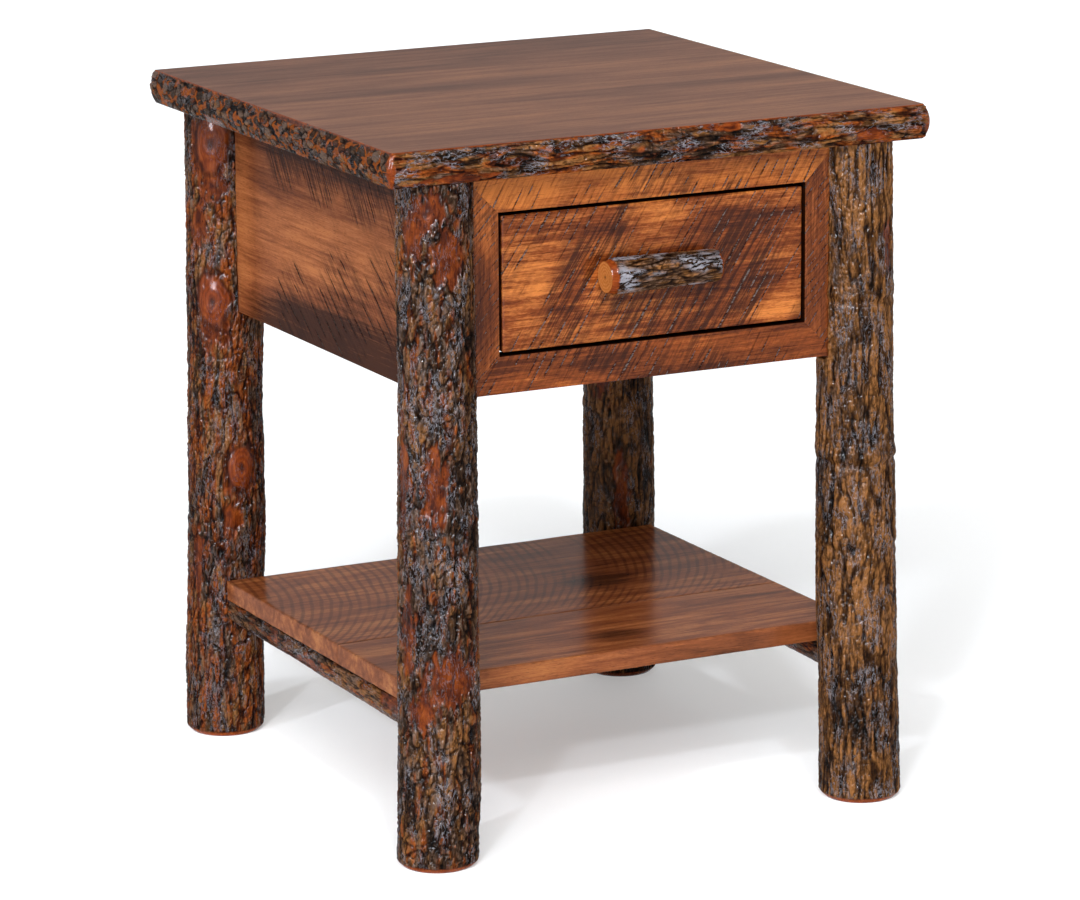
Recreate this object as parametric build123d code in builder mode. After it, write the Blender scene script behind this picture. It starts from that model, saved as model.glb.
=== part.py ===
from build123d import *
from math import pi, sin
import os

# A hickory-log end table with one drawer and a lower shelf.
# X runs to the table's right, -Y is its front, and Z = 0 is the floor, under the middle of the table.

os.makedirs("parts", exist_ok=True)

# ---- driving dimensions, in millimetres ----

# top
table_height = 660.0
top_length = 540.0  # along X, edge to edge of the planed face
top_depth = 534.0  # along Y
top_thickness = 32.0
top_board_count = 4
trim_lip = 4.0  # width of a bark strip at its upper and lower face
trim_bulge = 5.5  # how far its round face stands out beyond that

# legs
leg_inset_x = 55.0  # from the top's edge to a leg's axis under the top
leg_inset_y = 32.0
leg_splay_x = 7.0  # how much farther out its axis meets the floor
leg_splay_y = 7.6
leg_sections = 5
foot_chamfer = 4.0

# case, let into the legs
case_height = 199.0
notch_outset_x = 2.0  # from a leg's axis under the top out to the case's side
notch_outset_y = 11.0  # the same to its front or back
side_thickness = 26.0
frame_width = 34.0  # rails and stiles of the mitred face frame
frame_thickness = 20.0
back_thickness = 12.0
back_rabbet = 13.0  # how far the back reaches into each side
cleat_thickness = 19.0
cleat_width = 60.0

# shelf and its stretchers
shelf_height = 161.5  # upper face above the floor
shelf_outset = 15.1  # past the legs' axes, left and right
shelf_thickness = 19.5
shelf_front_depth = 142.0  # of the front board
shelf_leg_gap = 2.0
stretcher_front_radius = 15.5
stretcher_rear_radius = 13.5
stretcher_flat = 1.0  # planed off under the shelf
stretcher_housing = 4.0  # how far the whole log enters a leg
tenon_radius = 9.5
tenon_length = 22.0
tenon_slack = 0.1

# drawer
drawer_gap = 3.5  # shadow gap around the drawer front
drawer_front_thickness = 20.0
drawer_front_chamfer = 1.5
box_height = 100.0
box_lift = 12.0  # box above the lower edge of the opening
box_board = 13.0
box_tails = 3
pin_tip = 4.0  # half width of a dovetail pin at the box's end
pin_flare = 1.9  # what it gains on the way in
bottom_thickness = 6.0
bottom_lift = 10.0
bottom_groove = 6.0
bottom_slack = 0.2

# branch pull
pull_length = 115.0
pull_left_radius = 16.4
pull_right_radius = 14.6
pull_flat = 2.5
pull_chamfer = 3.0
pull_screw_spacing = 64.0

# telescopic slides
slide_end_gap = 10.0  # from the slides' rear ends to the back
slide_thickness = 12.7
slide_height = 45.0
slide_gauge = 1.2
slide_mouth = 3.5  # from the drawer box to the lips of the case member
block_height = 70.0
ball_radius = 1.5
ball_clearance = 0.05
ball_pitch = 20.0
cage_length = 196.0
cage_gauge = 0.4
cage_margin = 0.25

# screws
screw_radius = 2.2
screw_head_radius = 4.4
screw_head_height = 2.6
screw_slack = 0.05
leg_screw_length = 40.0
leg_screw_inset = 34.0  # from the case's front or back
leg_screw_low = 22.0  # above the case's lower edge
leg_screw_high = 36.0  # below its upper edge
top_screw_length = 38.0
top_screw_spacing = 140.0
block_screw_length = 50.0
block_screw_spacing = 180.0
shelf_screw_length = 35.0
shelf_screw_bite = 15.0  # its length inside a board
shelf_screw_spacing = 90.0
back_screw_length = 30.0
front_screw_length = 26.0
front_screw_spacing_x = 200.0
front_screw_spacing_z = 50.0
pull_screw_length = 50.0
slide_screw_length = 11.0
slide_screw_radius = 1.9
slide_screw_head_radius = 3.2
slide_screw_spacing = 190.0

# ---- places worked out from them ----

top_underside = table_height - top_thickness
top_right = top_length / 2
top_rear = top_depth / 2
core_right = top_right - trim_lip
core_front = -top_rear + trim_lip

leg_head_x = top_right - leg_inset_x
leg_head_y = top_rear - leg_inset_y

case_right = leg_head_x + notch_outset_x
case_rear = leg_head_y + notch_outset_y
case_front = -case_rear
case_bottom = top_underside - case_height
inner_right = case_right - side_thickness
back_front = case_rear - back_thickness
frame_back = case_front + frame_thickness
opening_right = inner_right - frame_width
opening_bottom = case_bottom + frame_width
opening_top = top_underside - frame_width
cleat_bottom = top_underside - cleat_thickness

box_right = opening_right - slide_thickness
box_bottom = opening_bottom + box_lift
box_front = case_front + drawer_front_thickness
box_rear = back_front - slide_end_gap
slide_length = box_rear - box_front
slide_level = box_bottom + box_height / 2
drawer_level = (opening_bottom + opening_top) / 2

shelf_underside = shelf_height - shelf_thickness

# ---- legs: each with its side, its two radii and how its log bows ----

legs = {
    "leg_front_left": {"x": -1, "y": -1, "foot": 37.4, "head": 33.8, "bow": (2.0, -1.5)},
    "leg_front_right": {"x": 1, "y": -1, "foot": 38.0, "head": 34.2, "bow": (-2.0, 0.5)},
    "leg_rear_left": {"x": -1, "y": 1, "foot": 38.0, "head": 35.4, "bow": (1.5, -1.0)},
    "leg_rear_right": {"x": 1, "y": 1, "foot": 36.6, "head": 34.6, "bow": (-1.0, -1.0)},
}


def leg_axis(leg, height):
    # the point where the log's bowed axis passes a height
    rise = height / top_underside
    belly = sin(pi * rise)
    across = leg_head_x + leg_splay_x * (1 - rise)
    along = leg_head_y + leg_splay_y * (1 - rise)
    return leg["x"] * across + leg["bow"][0] * belly, leg["y"] * along + leg["bow"][1] * belly


def leg_radius(leg, height):
    return leg["foot"] + (leg["head"] - leg["foot"]) * height / top_underside


def leg_inner_y(leg, height):
    # how far the log's inner side lies from the middle of the table
    return abs(leg_axis(leg, height)[1]) - leg_radius(leg, height)


shelf_rear = min(leg_inner_y(leg, shelf_underside) for leg in legs.values()) - shelf_leg_gap
shelf_front = -shelf_rear
shelf_seam = shelf_front + shelf_front_depth
shelf_right = leg_head_x + leg_splay_x * (1 - shelf_underside / top_underside) + shelf_outset


def stretcher_ends(side):
    # front and rear ends of a stretcher's full log: x, y, z and radius
    ends = []
    for leg in (one for one in legs.values() if one["x"] == side):
        radius = stretcher_front_radius if leg["y"] < 0 else stretcher_rear_radius
        level = shelf_underside + stretcher_flat - radius
        reach = leg_inner_y(leg, level) + stretcher_housing
        ends.append((leg_axis(leg, level)[0], leg["y"] * reach, level, radius))
    return sorted(ends, key=lambda end: end[1])


def stretcher_x(side, y):
    # x of a stretcher's axis at y
    front, rear = stretcher_ends(side)
    return front[0] + (rear[0] - front[0]) * (y - front[1]) / (rear[1] - front[1])


# ---- shapes used more than once ----


def write(piece, name):
    piece.label = name
    export_step(piece, f"parts/{name}.step")


def round_screw(length, slack=0.0):
    # head above the plane it is placed on, shank below; with slack it is the hole's cutter
    with BuildPart() as screw:
        with BuildSketch(Plane.XZ):
            with BuildLine():
                Polyline(
                    (0, screw_head_height + slack),
                    (screw_head_radius + slack, screw_head_height + slack),
                    (screw_head_radius + slack, 0),
                    (screw_radius + slack, 0),
                    (screw_radius + slack, screw_radius - length - slack),
                    (0, -length - slack),
                    close=True,
                )
            make_face()
        revolve(axis=Axis.Z)
    return screw.part


def flat_screw(length, radius, head_radius, slack=0.0):
    # countersunk head flush with the plane it is placed on
    head_depth = head_radius - radius
    with BuildPart() as screw:
        with BuildSketch(Plane.XZ):
            with BuildLine():
                Polyline(
                    (0, 0),
                    (head_radius + slack, 0),
                    (radius + slack, -head_depth),
                    (radius + slack, radius - length - slack),
                    (0, -length - slack),
                    close=True,
                )
            make_face()
        revolve(axis=Axis.Z)
    return screw.part


def case_screw(length, slack=0.0):
    return flat_screw(length, screw_radius, screw_head_radius, slack)


def slide_screw(slack=0.0):
    return flat_screw(slide_screw_length, slide_screw_radius, slide_screw_head_radius, slack)


def looking(spots, direction):
    # planes at the spots whose normals, and so the screw heads, point along a direction
    return [Plane(origin=spot, z_dir=direction) for spot in spots]


def row(spacing, count):
    # evenly spaced steps about zero
    return [spacing * (place - (count - 1) / 2) for place in range(count)]


# ---- screw places ----

top_screw_spots = [
    (x, y, cleat_bottom)
    for y in (frame_back + cleat_width / 2, back_front - cleat_width / 2)
    for x in row(top_screw_spacing, 3)
]
leg_screw_y = case_rear - leg_screw_inset


def leg_screw_spots(side_x, side_y):
    levels = (case_bottom + leg_screw_low, top_underside - leg_screw_high)
    return [(side_x * inner_right, side_y * leg_screw_y, level) for level in levels]


def block_screw_spots(side):
    middle = (frame_back + back_front) / 2
    return [(side * opening_right, middle + step, slide_level) for step in row(block_screw_spacing, 2)]


def shelf_screw_spots(side):
    # heads are sunk in the stretchers, tips end in the boards
    head_level = shelf_underside + shelf_screw_bite - shelf_screw_length
    middles = ((shelf_front + shelf_seam) / 2, (shelf_seam + shelf_rear) / 2)
    steps = [middle + step for middle in middles for step in row(shelf_screw_spacing, 2)]
    return [(stretcher_x(side, y), y, head_level) for y in steps]


back_screw_spots = [(x, case_rear, cleat_bottom + cleat_thickness / 2) for x in row(top_screw_spacing, 3)]
back_screw_spots += [(side * (inner_right + opening_right) / 2, case_rear, slide_level) for side in (-1, 1)]
front_screw_spots = [
    (x, box_front + box_board, slide_level + z)
    for x in row(front_screw_spacing_x, 2)
    for z in row(front_screw_spacing_z, 2)
]
pull_screw_spots = [(x, box_front + box_board, drawer_level) for x in row(pull_screw_spacing, 2)]
case_screw_x = opening_right - slide_gauge  # heads lie flush in the members' webs
drawer_screw_x = box_right + slide_gauge


def slide_screw_spots(x):
    middle = (box_front + box_rear) / 2
    return [(x, middle + step, slide_level) for step in row(slide_screw_spacing, 3)]


# ---- top: boards glued edge to edge ----

board_depth = (top_rear - core_front) / top_board_count
for number in range(top_board_count):
    with BuildPart() as top_board:
        with BuildSketch(Plane.XY.offset(top_underside)):
            with Locations((-core_right, core_front + number * board_depth)):
                Rectangle(2 * core_right, board_depth, align=Align.MIN)
        extrude(amount=top_thickness)
        with Locations(*looking(top_screw_spots, (0, 0, -1))):
            add(round_screw(top_screw_length, screw_slack), mode=Mode.SUBTRACT)
    write(top_board.part, f"top_board_{number + 1}")


# ---- top: bark strips, flat behind and round in front, mitred at the front corners ----


def strip_profile(edge_plane):
    # half-round section in a plane whose x points outwards and whose y points up
    with BuildSketch(edge_plane) as section:
        with BuildLine():
            lower = (trim_lip, 0)
            upper = (trim_lip, top_thickness)
            belly = (trim_lip + trim_bulge, top_thickness / 2)
            Line((0, 0), lower)
            ThreePointArc(lower, belly, upper)
            Line(upper, (0, top_thickness))
            Line((0, top_thickness), (0, 0))
        make_face()
    return section.sketch


strip_reach = trim_lip + trim_bulge
corner_x = core_right + strip_reach
corner_y = core_front - strip_reach

with BuildPart() as top_trim_front:
    add(strip_profile(Plane((corner_x, core_front, top_underside), x_dir=(0, -1, 0), z_dir=(-1, 0, 0))))
    extrude(amount=2 * corner_x)
    with BuildSketch(Plane.XY.offset(top_underside)):
        Polygon(
            (-corner_x, corner_y),
            (corner_x, corner_y),
            (core_right, core_front),
            (-core_right, core_front),
            align=None,
        )
    extrude(amount=top_thickness, mode=Mode.INTERSECT)
write(top_trim_front.part, "top_trim_front")

for side, name in ((-1, "top_trim_left"), (1, "top_trim_right")):
    strip_plane = Plane((side * core_right, corner_y, top_underside), x_dir=(side, 0, 0), z_dir=(0, -side, 0))
    with BuildPart() as top_trim_side:
        add(strip_profile(strip_plane))
        extrude(amount=-side * (top_rear - corner_y))
        with BuildSketch(Plane.XY.offset(top_underside)):
            Polygon(
                (side * core_right, top_rear),
                (side * corner_x, top_rear),
                (side * corner_x, corner_y),
                (side * core_right, core_front),
                align=None,
            )
        extrude(amount=top_thickness, mode=Mode.INTERSECT)
    write(top_trim_side.part, name)

# ---- legs: bowed, tapering logs, notched for the case and bored for the stretchers ----

for name, leg in legs.items():
    end = [one for one in stretcher_ends(leg["x"]) if one[1] * leg["y"] > 0][0]
    bore_plane = Plane(end[:3], z_dir=(0, leg["y"], 0))
    with BuildPart() as log_leg:
        for step in range(leg_sections):
            level = top_underside * step / (leg_sections - 1)
            with BuildSketch(Plane((*leg_axis(leg, level), level))):
                Circle(leg_radius(leg, level))
        loft()
        chamfer(log_leg.edges().sort_by(Axis.Z)[0], foot_chamfer)
        with BuildSketch(Plane.XY.offset(case_bottom)):
            Rectangle(2 * case_right, 2 * case_rear)
        extrude(amount=case_height, mode=Mode.SUBTRACT)
        with BuildSketch(bore_plane):
            Circle(end[3] + tenon_slack)
        extrude(amount=-leg["foot"], mode=Mode.SUBTRACT)
        with BuildSketch(bore_plane):
            Circle(tenon_radius + tenon_slack)
        extrude(amount=tenon_length + tenon_slack, mode=Mode.SUBTRACT)
        with Locations(*looking(leg_screw_spots(leg["x"], leg["y"]), (-leg["x"], 0, 0))):
            add(round_screw(leg_screw_length, screw_slack), mode=Mode.SUBTRACT)
    write(log_leg.part, name)

# ---- stretchers: thin logs with round tenons, planed flat under the shelf ----

for side, name in ((-1, "stretcher_left"), (1, "stretcher_right")):
    front_end, rear_end = stretcher_ends(side)
    with BuildPart() as stretcher:
        for x, y, z, radius in (front_end, rear_end):
            with BuildSketch(Plane((x, y, z), z_dir=(0, 1, 0))):
                Circle(radius)
        loft()
        for (x, y, z, radius), outward in ((front_end, -1), (rear_end, 1)):
            with BuildSketch(Plane((x, y, z), z_dir=(0, outward, 0))):
                Circle(tenon_radius)
            extrude(amount=tenon_length)
        with BuildSketch(Plane.XY.offset(shelf_underside)):
            with Locations((side * case_right, 0)):
                Rectangle(4 * stretcher_front_radius, shelf_rear - shelf_front)
        extrude(amount=shelf_thickness, mode=Mode.SUBTRACT)
        with Locations(*looking(shelf_screw_spots(side), (0, 0, -1))):
            add(round_screw(shelf_screw_length, screw_slack), mode=Mode.SUBTRACT)
        # wells that take the screw heads
        with BuildSketch(Plane.XY.offset(shelf_screw_spots(side)[0][2])):
            with Locations(*[spot[:2] for spot in shelf_screw_spots(side)]):
                Circle(screw_head_radius + screw_slack)
        extrude(amount=-2 * stretcher_front_radius, mode=Mode.SUBTRACT)
    write(stretcher.part, name)

# ---- shelf: two boards between the legs ----

for name, board_front, board_rear in (
    ("shelf_board_front", shelf_front, shelf_seam),
    ("shelf_board_rear", shelf_seam, shelf_rear),
):
    with BuildPart() as shelf_board:
        with BuildSketch(Plane.XY.offset(shelf_underside)):
            with Locations((-shelf_right, board_front)):
                Rectangle(2 * shelf_right, board_rear - board_front, align=Align.MIN)
        extrude(amount=shelf_thickness)
        for side in (-1, 1):
            with Locations(*looking(shelf_screw_spots(side), (0, 0, -1))):
                add(round_screw(shelf_screw_length, screw_slack), mode=Mode.SUBTRACT)
    write(shelf_board.part, name)

# ---- case: two sides, a back and the mitred face frame ----

for side, name in ((-1, "case_side_left"), (1, "case_side_right")):
    with BuildPart() as case_side:
        with BuildSketch(Plane.XY.offset(case_bottom)):
            with Locations((side * (case_right - side_thickness / 2), 0)):
                Rectangle(side_thickness, 2 * case_rear)
            with Locations((side * (inner_right + back_rabbet / 2), case_rear - back_thickness / 2)):
                Rectangle(back_rabbet, back_thickness, mode=Mode.SUBTRACT)
        extrude(amount=case_height)
        for side_y in (-1, 1):
            with Locations(*looking(leg_screw_spots(side, side_y), (-side, 0, 0))):
                add(round_screw(leg_screw_length, screw_slack), mode=Mode.SUBTRACT)
        with Locations(*looking(block_screw_spots(side), (-side, 0, 0))):
            add(case_screw(block_screw_length, screw_slack), mode=Mode.SUBTRACT)
    write(case_side.part, name)

with BuildPart() as case_back:
    with BuildSketch(Plane.XY.offset(case_bottom)):
        with Locations((0, case_rear - back_thickness / 2)):
            Rectangle(2 * (inner_right + back_rabbet), back_thickness)
    extrude(amount=case_height)
    with Locations(*looking(back_screw_spots, (0, 1, 0))):
        add(case_screw(back_screw_length, screw_slack), mode=Mode.SUBTRACT)
write(case_back.part, "case_back")

outer_corners = [
    (-inner_right, case_bottom),
    (inner_right, case_bottom),
    (inner_right, top_underside),
    (-inner_right, top_underside),
]
inner_corners = [
    (-opening_right, opening_bottom),
    (opening_right, opening_bottom),
    (opening_right, opening_top),
    (-opening_right, opening_top),
]
frame_names = ("frame_rail_bottom", "frame_stile_right", "frame_rail_top", "frame_stile_left")
for number, name in enumerate(frame_names):
    following = (number + 1) % 4
    with BuildPart() as frame_member:
        with BuildSketch(Plane.XZ.offset(-case_front)):
            Polygon(
                outer_corners[number],
                outer_corners[following],
                inner_corners[following],
                inner_corners[number],
                align=None,
            )
        extrude(amount=-frame_thickness)
    write(frame_member.part, name)

# ---- cleats under the top ----

for name, cleat_front in (("top_cleat_front", frame_back), ("top_cleat_rear", back_front - cleat_width)):
    with BuildPart() as cleat:
        with BuildSketch(Plane.XY.offset(cleat_bottom)):
            with Locations((-inner_right, cleat_front)):
                Rectangle(2 * inner_right, cleat_width, align=Align.MIN)
        extrude(amount=cleat_thickness)
        with Locations(*looking(top_screw_spots, (0, 0, -1))):
            add(round_screw(top_screw_length, screw_slack), mode=Mode.SUBTRACT)
        with Locations(*looking(back_screw_spots, (0, 1, 0))):
            add(case_screw(back_screw_length, screw_slack), mode=Mode.SUBTRACT)
    write(cleat.part, name)

# ---- blocks that pack the slides out to the drawer opening ----

for side, name in ((-1, "slide_block_left"), (1, "slide_block_right")):
    with BuildPart() as slide_block:
        with BuildSketch(Plane.XY.offset(slide_level - block_height / 2)):
            with Locations((side * (inner_right + opening_right) / 2, (frame_back + back_front) / 2)):
                Rectangle(inner_right - opening_right, back_front - frame_back)
        extrude(amount=block_height)
        with Locations(*looking(block_screw_spots(side), (-side, 0, 0))):
            add(case_screw(block_screw_length, screw_slack), mode=Mode.SUBTRACT)
        with Locations(*looking(back_screw_spots, (0, 1, 0))):
            add(case_screw(back_screw_length, screw_slack), mode=Mode.SUBTRACT)
        with Locations(*looking(slide_screw_spots(side * case_screw_x), (-side, 0, 0))):
            add(slide_screw(screw_slack), mode=Mode.SUBTRACT)
    write(slide_block.part, name)

# ---- drawer front ----

with BuildPart() as drawer_front:
    with BuildSketch(Plane.XZ.offset(-case_front)):
        with Locations((0, drawer_level)):
            Rectangle(2 * (opening_right - drawer_gap), opening_top - opening_bottom - 2 * drawer_gap)
    extrude(amount=-drawer_front_thickness)
    chamfer(drawer_front.faces().sort_by(Axis.Y)[0].edges(), drawer_front_chamfer)
    with Locations(*looking(front_screw_spots, (0, 1, 0))):
        add(round_screw(front_screw_length, screw_slack), mode=Mode.SUBTRACT)
    with Locations(*looking(pull_screw_spots, (0, 1, 0))):
        add(round_screw(pull_screw_length, screw_slack), mode=Mode.SUBTRACT)
write(drawer_front.part, "drawer_front")

# ---- branch pull, flattened where it sits on the drawer front ----

pull_axis_y = case_front - pull_left_radius + pull_flat
with BuildPart() as drawer_pull:
    for x, radius in ((-pull_length / 2, pull_left_radius), (pull_length / 2, pull_right_radius)):
        with BuildSketch(Plane((x, pull_axis_y + pull_left_radius - radius, drawer_level), z_dir=(1, 0, 0))):
            Circle(radius)
    loft()
    chamfer(drawer_pull.edges().filter_by(GeomType.CIRCLE), pull_chamfer)
    with BuildSketch(Plane.XZ.offset(-case_front)):
        with Locations((0, drawer_level)):
            Rectangle(2 * pull_length, 4 * pull_left_radius)
    extrude(amount=-pull_left_radius, mode=Mode.SUBTRACT)
    with Locations(*looking(pull_screw_spots, (0, 1, 0))):
        add(round_screw(pull_screw_length, screw_slack), mode=Mode.SUBTRACT)
write(drawer_pull.part, "drawer_pull")

# ---- drawer box, dovetailed at its four corners ----


def pin_outlines(end, inward):
    # outlines in Y and Z of the pins at one end of a side: slim at the end, wider on the way in
    outlines = []
    pitch = box_height / box_tails
    for number in range(box_tails + 1):
        level = box_bottom + number * pitch
        below = 0 if number == 0 else 1
        above = 0 if number == box_tails else 1
        shoulder = end + inward * box_board
        wide = pin_tip + pin_flare
        outlines.append(
            (
                (end, level - below * pin_tip),
                (end, level + above * pin_tip),
                (shoulder, level + above * wide),
                (shoulder, level - below * wide),
            )
        )
    return outlines


box_inner_right = box_right - box_board
groove_bottom = box_bottom + bottom_lift
groove_reach = bottom_groove + bottom_slack

for side, name in ((-1, "box_side_left"), (1, "box_side_right")):
    with BuildPart() as box_side:
        with BuildSketch(Plane.YZ.offset(side * box_inner_right)):
            with Locations((box_front, box_bottom)):
                Rectangle(slide_length, box_height, align=Align.MIN)
            for outline in pin_outlines(box_front, 1) + pin_outlines(box_rear, -1):
                Polygon(*outline, align=None, mode=Mode.SUBTRACT)
        extrude(amount=side * box_board)
        with BuildSketch(Plane.XY.offset(groove_bottom)):
            with Locations((0, (box_front + box_rear) / 2)):
                Rectangle(
                    2 * (box_inner_right + groove_reach),
                    slide_length - 2 * (box_board - groove_reach),
                )
        extrude(amount=bottom_thickness + bottom_slack, mode=Mode.SUBTRACT)
        with Locations(*looking(slide_screw_spots(side * drawer_screw_x), (side, 0, 0))):
            add(slide_screw(screw_slack), mode=Mode.SUBTRACT)
    write(box_side.part, name)

for name, end, inward in (("box_front", box_front, 1), ("box_back", box_rear, -1)):
    with BuildPart() as box_end:
        with BuildSketch(Plane.XZ.offset(-end)):
            with Locations((0, box_bottom + box_height / 2)):
                Rectangle(2 * box_inner_right, box_height)
        extrude(amount=-inward * box_board)
        with BuildSketch(Plane.YZ.offset(-box_right)):
            for outline in pin_outlines(end, inward):
                Polygon(*outline, align=None)
        extrude(amount=2 * box_right)
        with BuildSketch(Plane.XY.offset(groove_bottom)):
            with Locations((0, (box_front + box_rear) / 2)):
                Rectangle(
                    2 * (box_inner_right + groove_reach),
                    slide_length - 2 * (box_board - groove_reach),
                )
        extrude(amount=bottom_thickness + bottom_slack, mode=Mode.SUBTRACT)
        with Locations(*looking(front_screw_spots, (0, 1, 0))):
            add(round_screw(front_screw_length, screw_slack), mode=Mode.SUBTRACT)
        with Locations(*looking(pull_screw_spots, (0, 1, 0))):
            add(round_screw(pull_screw_length, screw_slack), mode=Mode.SUBTRACT)
    write(box_end.part, name)

with BuildPart() as box_floor:
    with BuildSketch(Plane.XY.offset(groove_bottom)):
        with Locations((0, (box_front + box_rear) / 2)):
            Rectangle(
                2 * (box_inner_right + bottom_groove),
                slide_length - 2 * (box_board - bottom_groove),
            )
    extrude(amount=bottom_thickness)
write(box_floor.part, "box_floor")

# ---- telescopic slides: three nested channels with two ball cages between them ----

ball_span = 2 * (ball_radius + ball_clearance)
case_member_half = slide_height / 2
middle_half = case_member_half - slide_gauge - ball_span
drawer_member_half = middle_half - slide_gauge - ball_span
outer_ball_level = case_member_half - slide_gauge - ball_span / 2
inner_ball_level = middle_half - slide_gauge - ball_span / 2

case_web = slide_thickness
outer_cage_web = case_web - slide_gauge - cage_margin
middle_web = outer_cage_web - cage_gauge - cage_margin
inner_cage_web = middle_web - slide_gauge - cage_margin
drawer_lip = inner_cage_web - cage_gauge - cage_margin
ball_line = (slide_mouth + drawer_lip) / 2
cage_mouth = slide_mouth + cage_margin


def channel(side, web, lip, half_height, gauge, length):
    # a channel along Y, centred between the drawer box's ends; web and lip are distances from the box
    inside = web - gauge if web > lip else web + gauge
    outline = [
        (lip, half_height),
        (web, half_height),
        (web, -half_height),
        (lip, -half_height),
        (lip, gauge - half_height),
        (inside, gauge - half_height),
        (inside, half_height - gauge),
        (lip, half_height - gauge),
    ]
    start = (box_front + box_rear) / 2 - length / 2
    with BuildPart() as shape:
        with BuildSketch(Plane.XZ.offset(-start)):
            Polygon(*[(side * (box_right + out), slide_level + up) for out, up in outline], align=None)
        extrude(amount=-length)
    return shape.part


def ball_cage(side, web, half_height, ball_level):
    # a thin channel that holds two rows of balls
    middle = (box_front + box_rear) / 2
    steps = row(ball_pitch, int(cage_length // ball_pitch))
    centres = [(side * (box_right + ball_line), middle + step) for step in steps]
    with BuildPart() as shape:
        add(channel(side, web, cage_mouth, half_height, cage_gauge, cage_length))
        with Locations(*[(x, y, slide_level + up) for x, y in centres for up in (-ball_level, ball_level)]):
            Sphere(ball_radius)
    return shape.part


for side, word in ((-1, "left"), (1, "right")):
    with BuildPart() as case_member:
        add(channel(side, case_web, slide_mouth, case_member_half, slide_gauge, slide_length))
        with Locations(*looking(slide_screw_spots(side * case_screw_x), (-side, 0, 0))):
            add(slide_screw(screw_slack), mode=Mode.SUBTRACT)
    write(case_member.part, f"slide_case_member_{word}")

    with BuildPart() as middle_member:
        add(channel(side, middle_web, slide_mouth, middle_half, slide_gauge, slide_length))
    write(middle_member.part, f"slide_middle_member_{word}")

    with BuildPart() as drawer_member:
        add(channel(side, 0, drawer_lip, drawer_member_half, slide_gauge, slide_length))
        with Locations(*looking(slide_screw_spots(side * drawer_screw_x), (side, 0, 0))):
            add(slide_screw(screw_slack), mode=Mode.SUBTRACT)
    write(drawer_member.part, f"slide_drawer_member_{word}")

    outer_cage = ball_cage(side, outer_cage_web, outer_ball_level + cage_gauge / 2, outer_ball_level)
    write(outer_cage, f"slide_outer_balls_{word}")
    inner_cage = ball_cage(side, inner_cage_web, inner_ball_level + cage_gauge / 2, inner_ball_level)
    write(inner_cage, f"slide_inner_balls_{word}")

# ---- screws, each kind one group ----

with BuildPart() as top_screws:
    with Locations(*looking(top_screw_spots, (0, 0, -1))):
        add(round_screw(top_screw_length))
write(top_screws.part, "top_screws")

with BuildPart() as leg_screws:
    for side_x in (-1, 1):
        for side_y in (-1, 1):
            with Locations(*looking(leg_screw_spots(side_x, side_y), (-side_x, 0, 0))):
                add(round_screw(leg_screw_length))
write(leg_screws.part, "leg_screws")

with BuildPart() as block_screws:
    for side in (-1, 1):
        with Locations(*looking(block_screw_spots(side), (-side, 0, 0))):
            add(case_screw(block_screw_length))
write(block_screws.part, "block_screws")

with BuildPart() as shelf_screws:
    for side in (-1, 1):
        with Locations(*looking(shelf_screw_spots(side), (0, 0, -1))):
            add(round_screw(shelf_screw_length))
write(shelf_screws.part, "shelf_screws")

with BuildPart() as back_screws:
    with Locations(*looking(back_screw_spots, (0, 1, 0))):
        add(case_screw(back_screw_length))
write(back_screws.part, "back_screws")

with BuildPart() as drawer_front_screws:
    with Locations(*looking(front_screw_spots, (0, 1, 0))):
        add(round_screw(front_screw_length))
write(drawer_front_screws.part, "drawer_front_screws")

with BuildPart() as pull_screws:
    with Locations(*looking(pull_screw_spots, (0, 1, 0))):
        add(round_screw(pull_screw_length))
write(pull_screws.part, "pull_screws")

for name, x, facing in (
    ("slide_case_screws", case_screw_x, -1),
    ("slide_drawer_screws", drawer_screw_x, 1),
):
    with BuildPart() as slide_screws:
        for side in (-1, 1):
            with Locations(*looking(slide_screw_spots(side * x), (side * facing, 0, 0))):
                add(slide_screw())
    write(slide_screws.part, name)
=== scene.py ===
import math
import bpy
import numpy as np
from mathutils import Matrix, Vector


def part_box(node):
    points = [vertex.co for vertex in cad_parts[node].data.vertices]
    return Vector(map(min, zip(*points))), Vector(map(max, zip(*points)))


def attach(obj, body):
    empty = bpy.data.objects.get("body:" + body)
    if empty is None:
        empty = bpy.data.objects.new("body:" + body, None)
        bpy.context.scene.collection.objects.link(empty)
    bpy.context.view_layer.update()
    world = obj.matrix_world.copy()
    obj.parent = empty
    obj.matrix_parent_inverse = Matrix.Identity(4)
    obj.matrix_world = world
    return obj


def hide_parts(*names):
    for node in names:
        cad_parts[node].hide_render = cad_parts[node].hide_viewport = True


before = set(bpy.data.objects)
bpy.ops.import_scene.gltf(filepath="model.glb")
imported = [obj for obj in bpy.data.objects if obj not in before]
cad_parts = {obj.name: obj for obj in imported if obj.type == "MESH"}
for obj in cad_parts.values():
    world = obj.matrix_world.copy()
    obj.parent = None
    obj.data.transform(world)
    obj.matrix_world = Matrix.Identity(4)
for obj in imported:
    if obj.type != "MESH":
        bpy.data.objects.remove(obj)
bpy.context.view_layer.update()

mm = 0.001


def scrambled(cells, seed):
    # a repeatable whole number for each lattice cell
    x, y, z = (cells[:, axis].astype(np.uint32) for axis in range(3))
    key = x * np.uint32(73856093) ^ y * np.uint32(19349663) ^ z * np.uint32(83492791)
    key = key ^ np.uint32((seed * 40503 + 977) % 4294967291)
    for shift, factor in ((15, 739982445), (12, 695872825), (15, 2654435769)):
        key = (key ^ (key >> np.uint32(shift))) * np.uint32(factor)
    return key ^ (key >> np.uint32(16))


def asVector(key):
    # three numbers from 0 to 1 out of one scrambled key
    return np.stack([key >> np.uint32(shift) & np.uint32(1023) for shift in (0, 10, 20)], 1) / 1023


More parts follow.
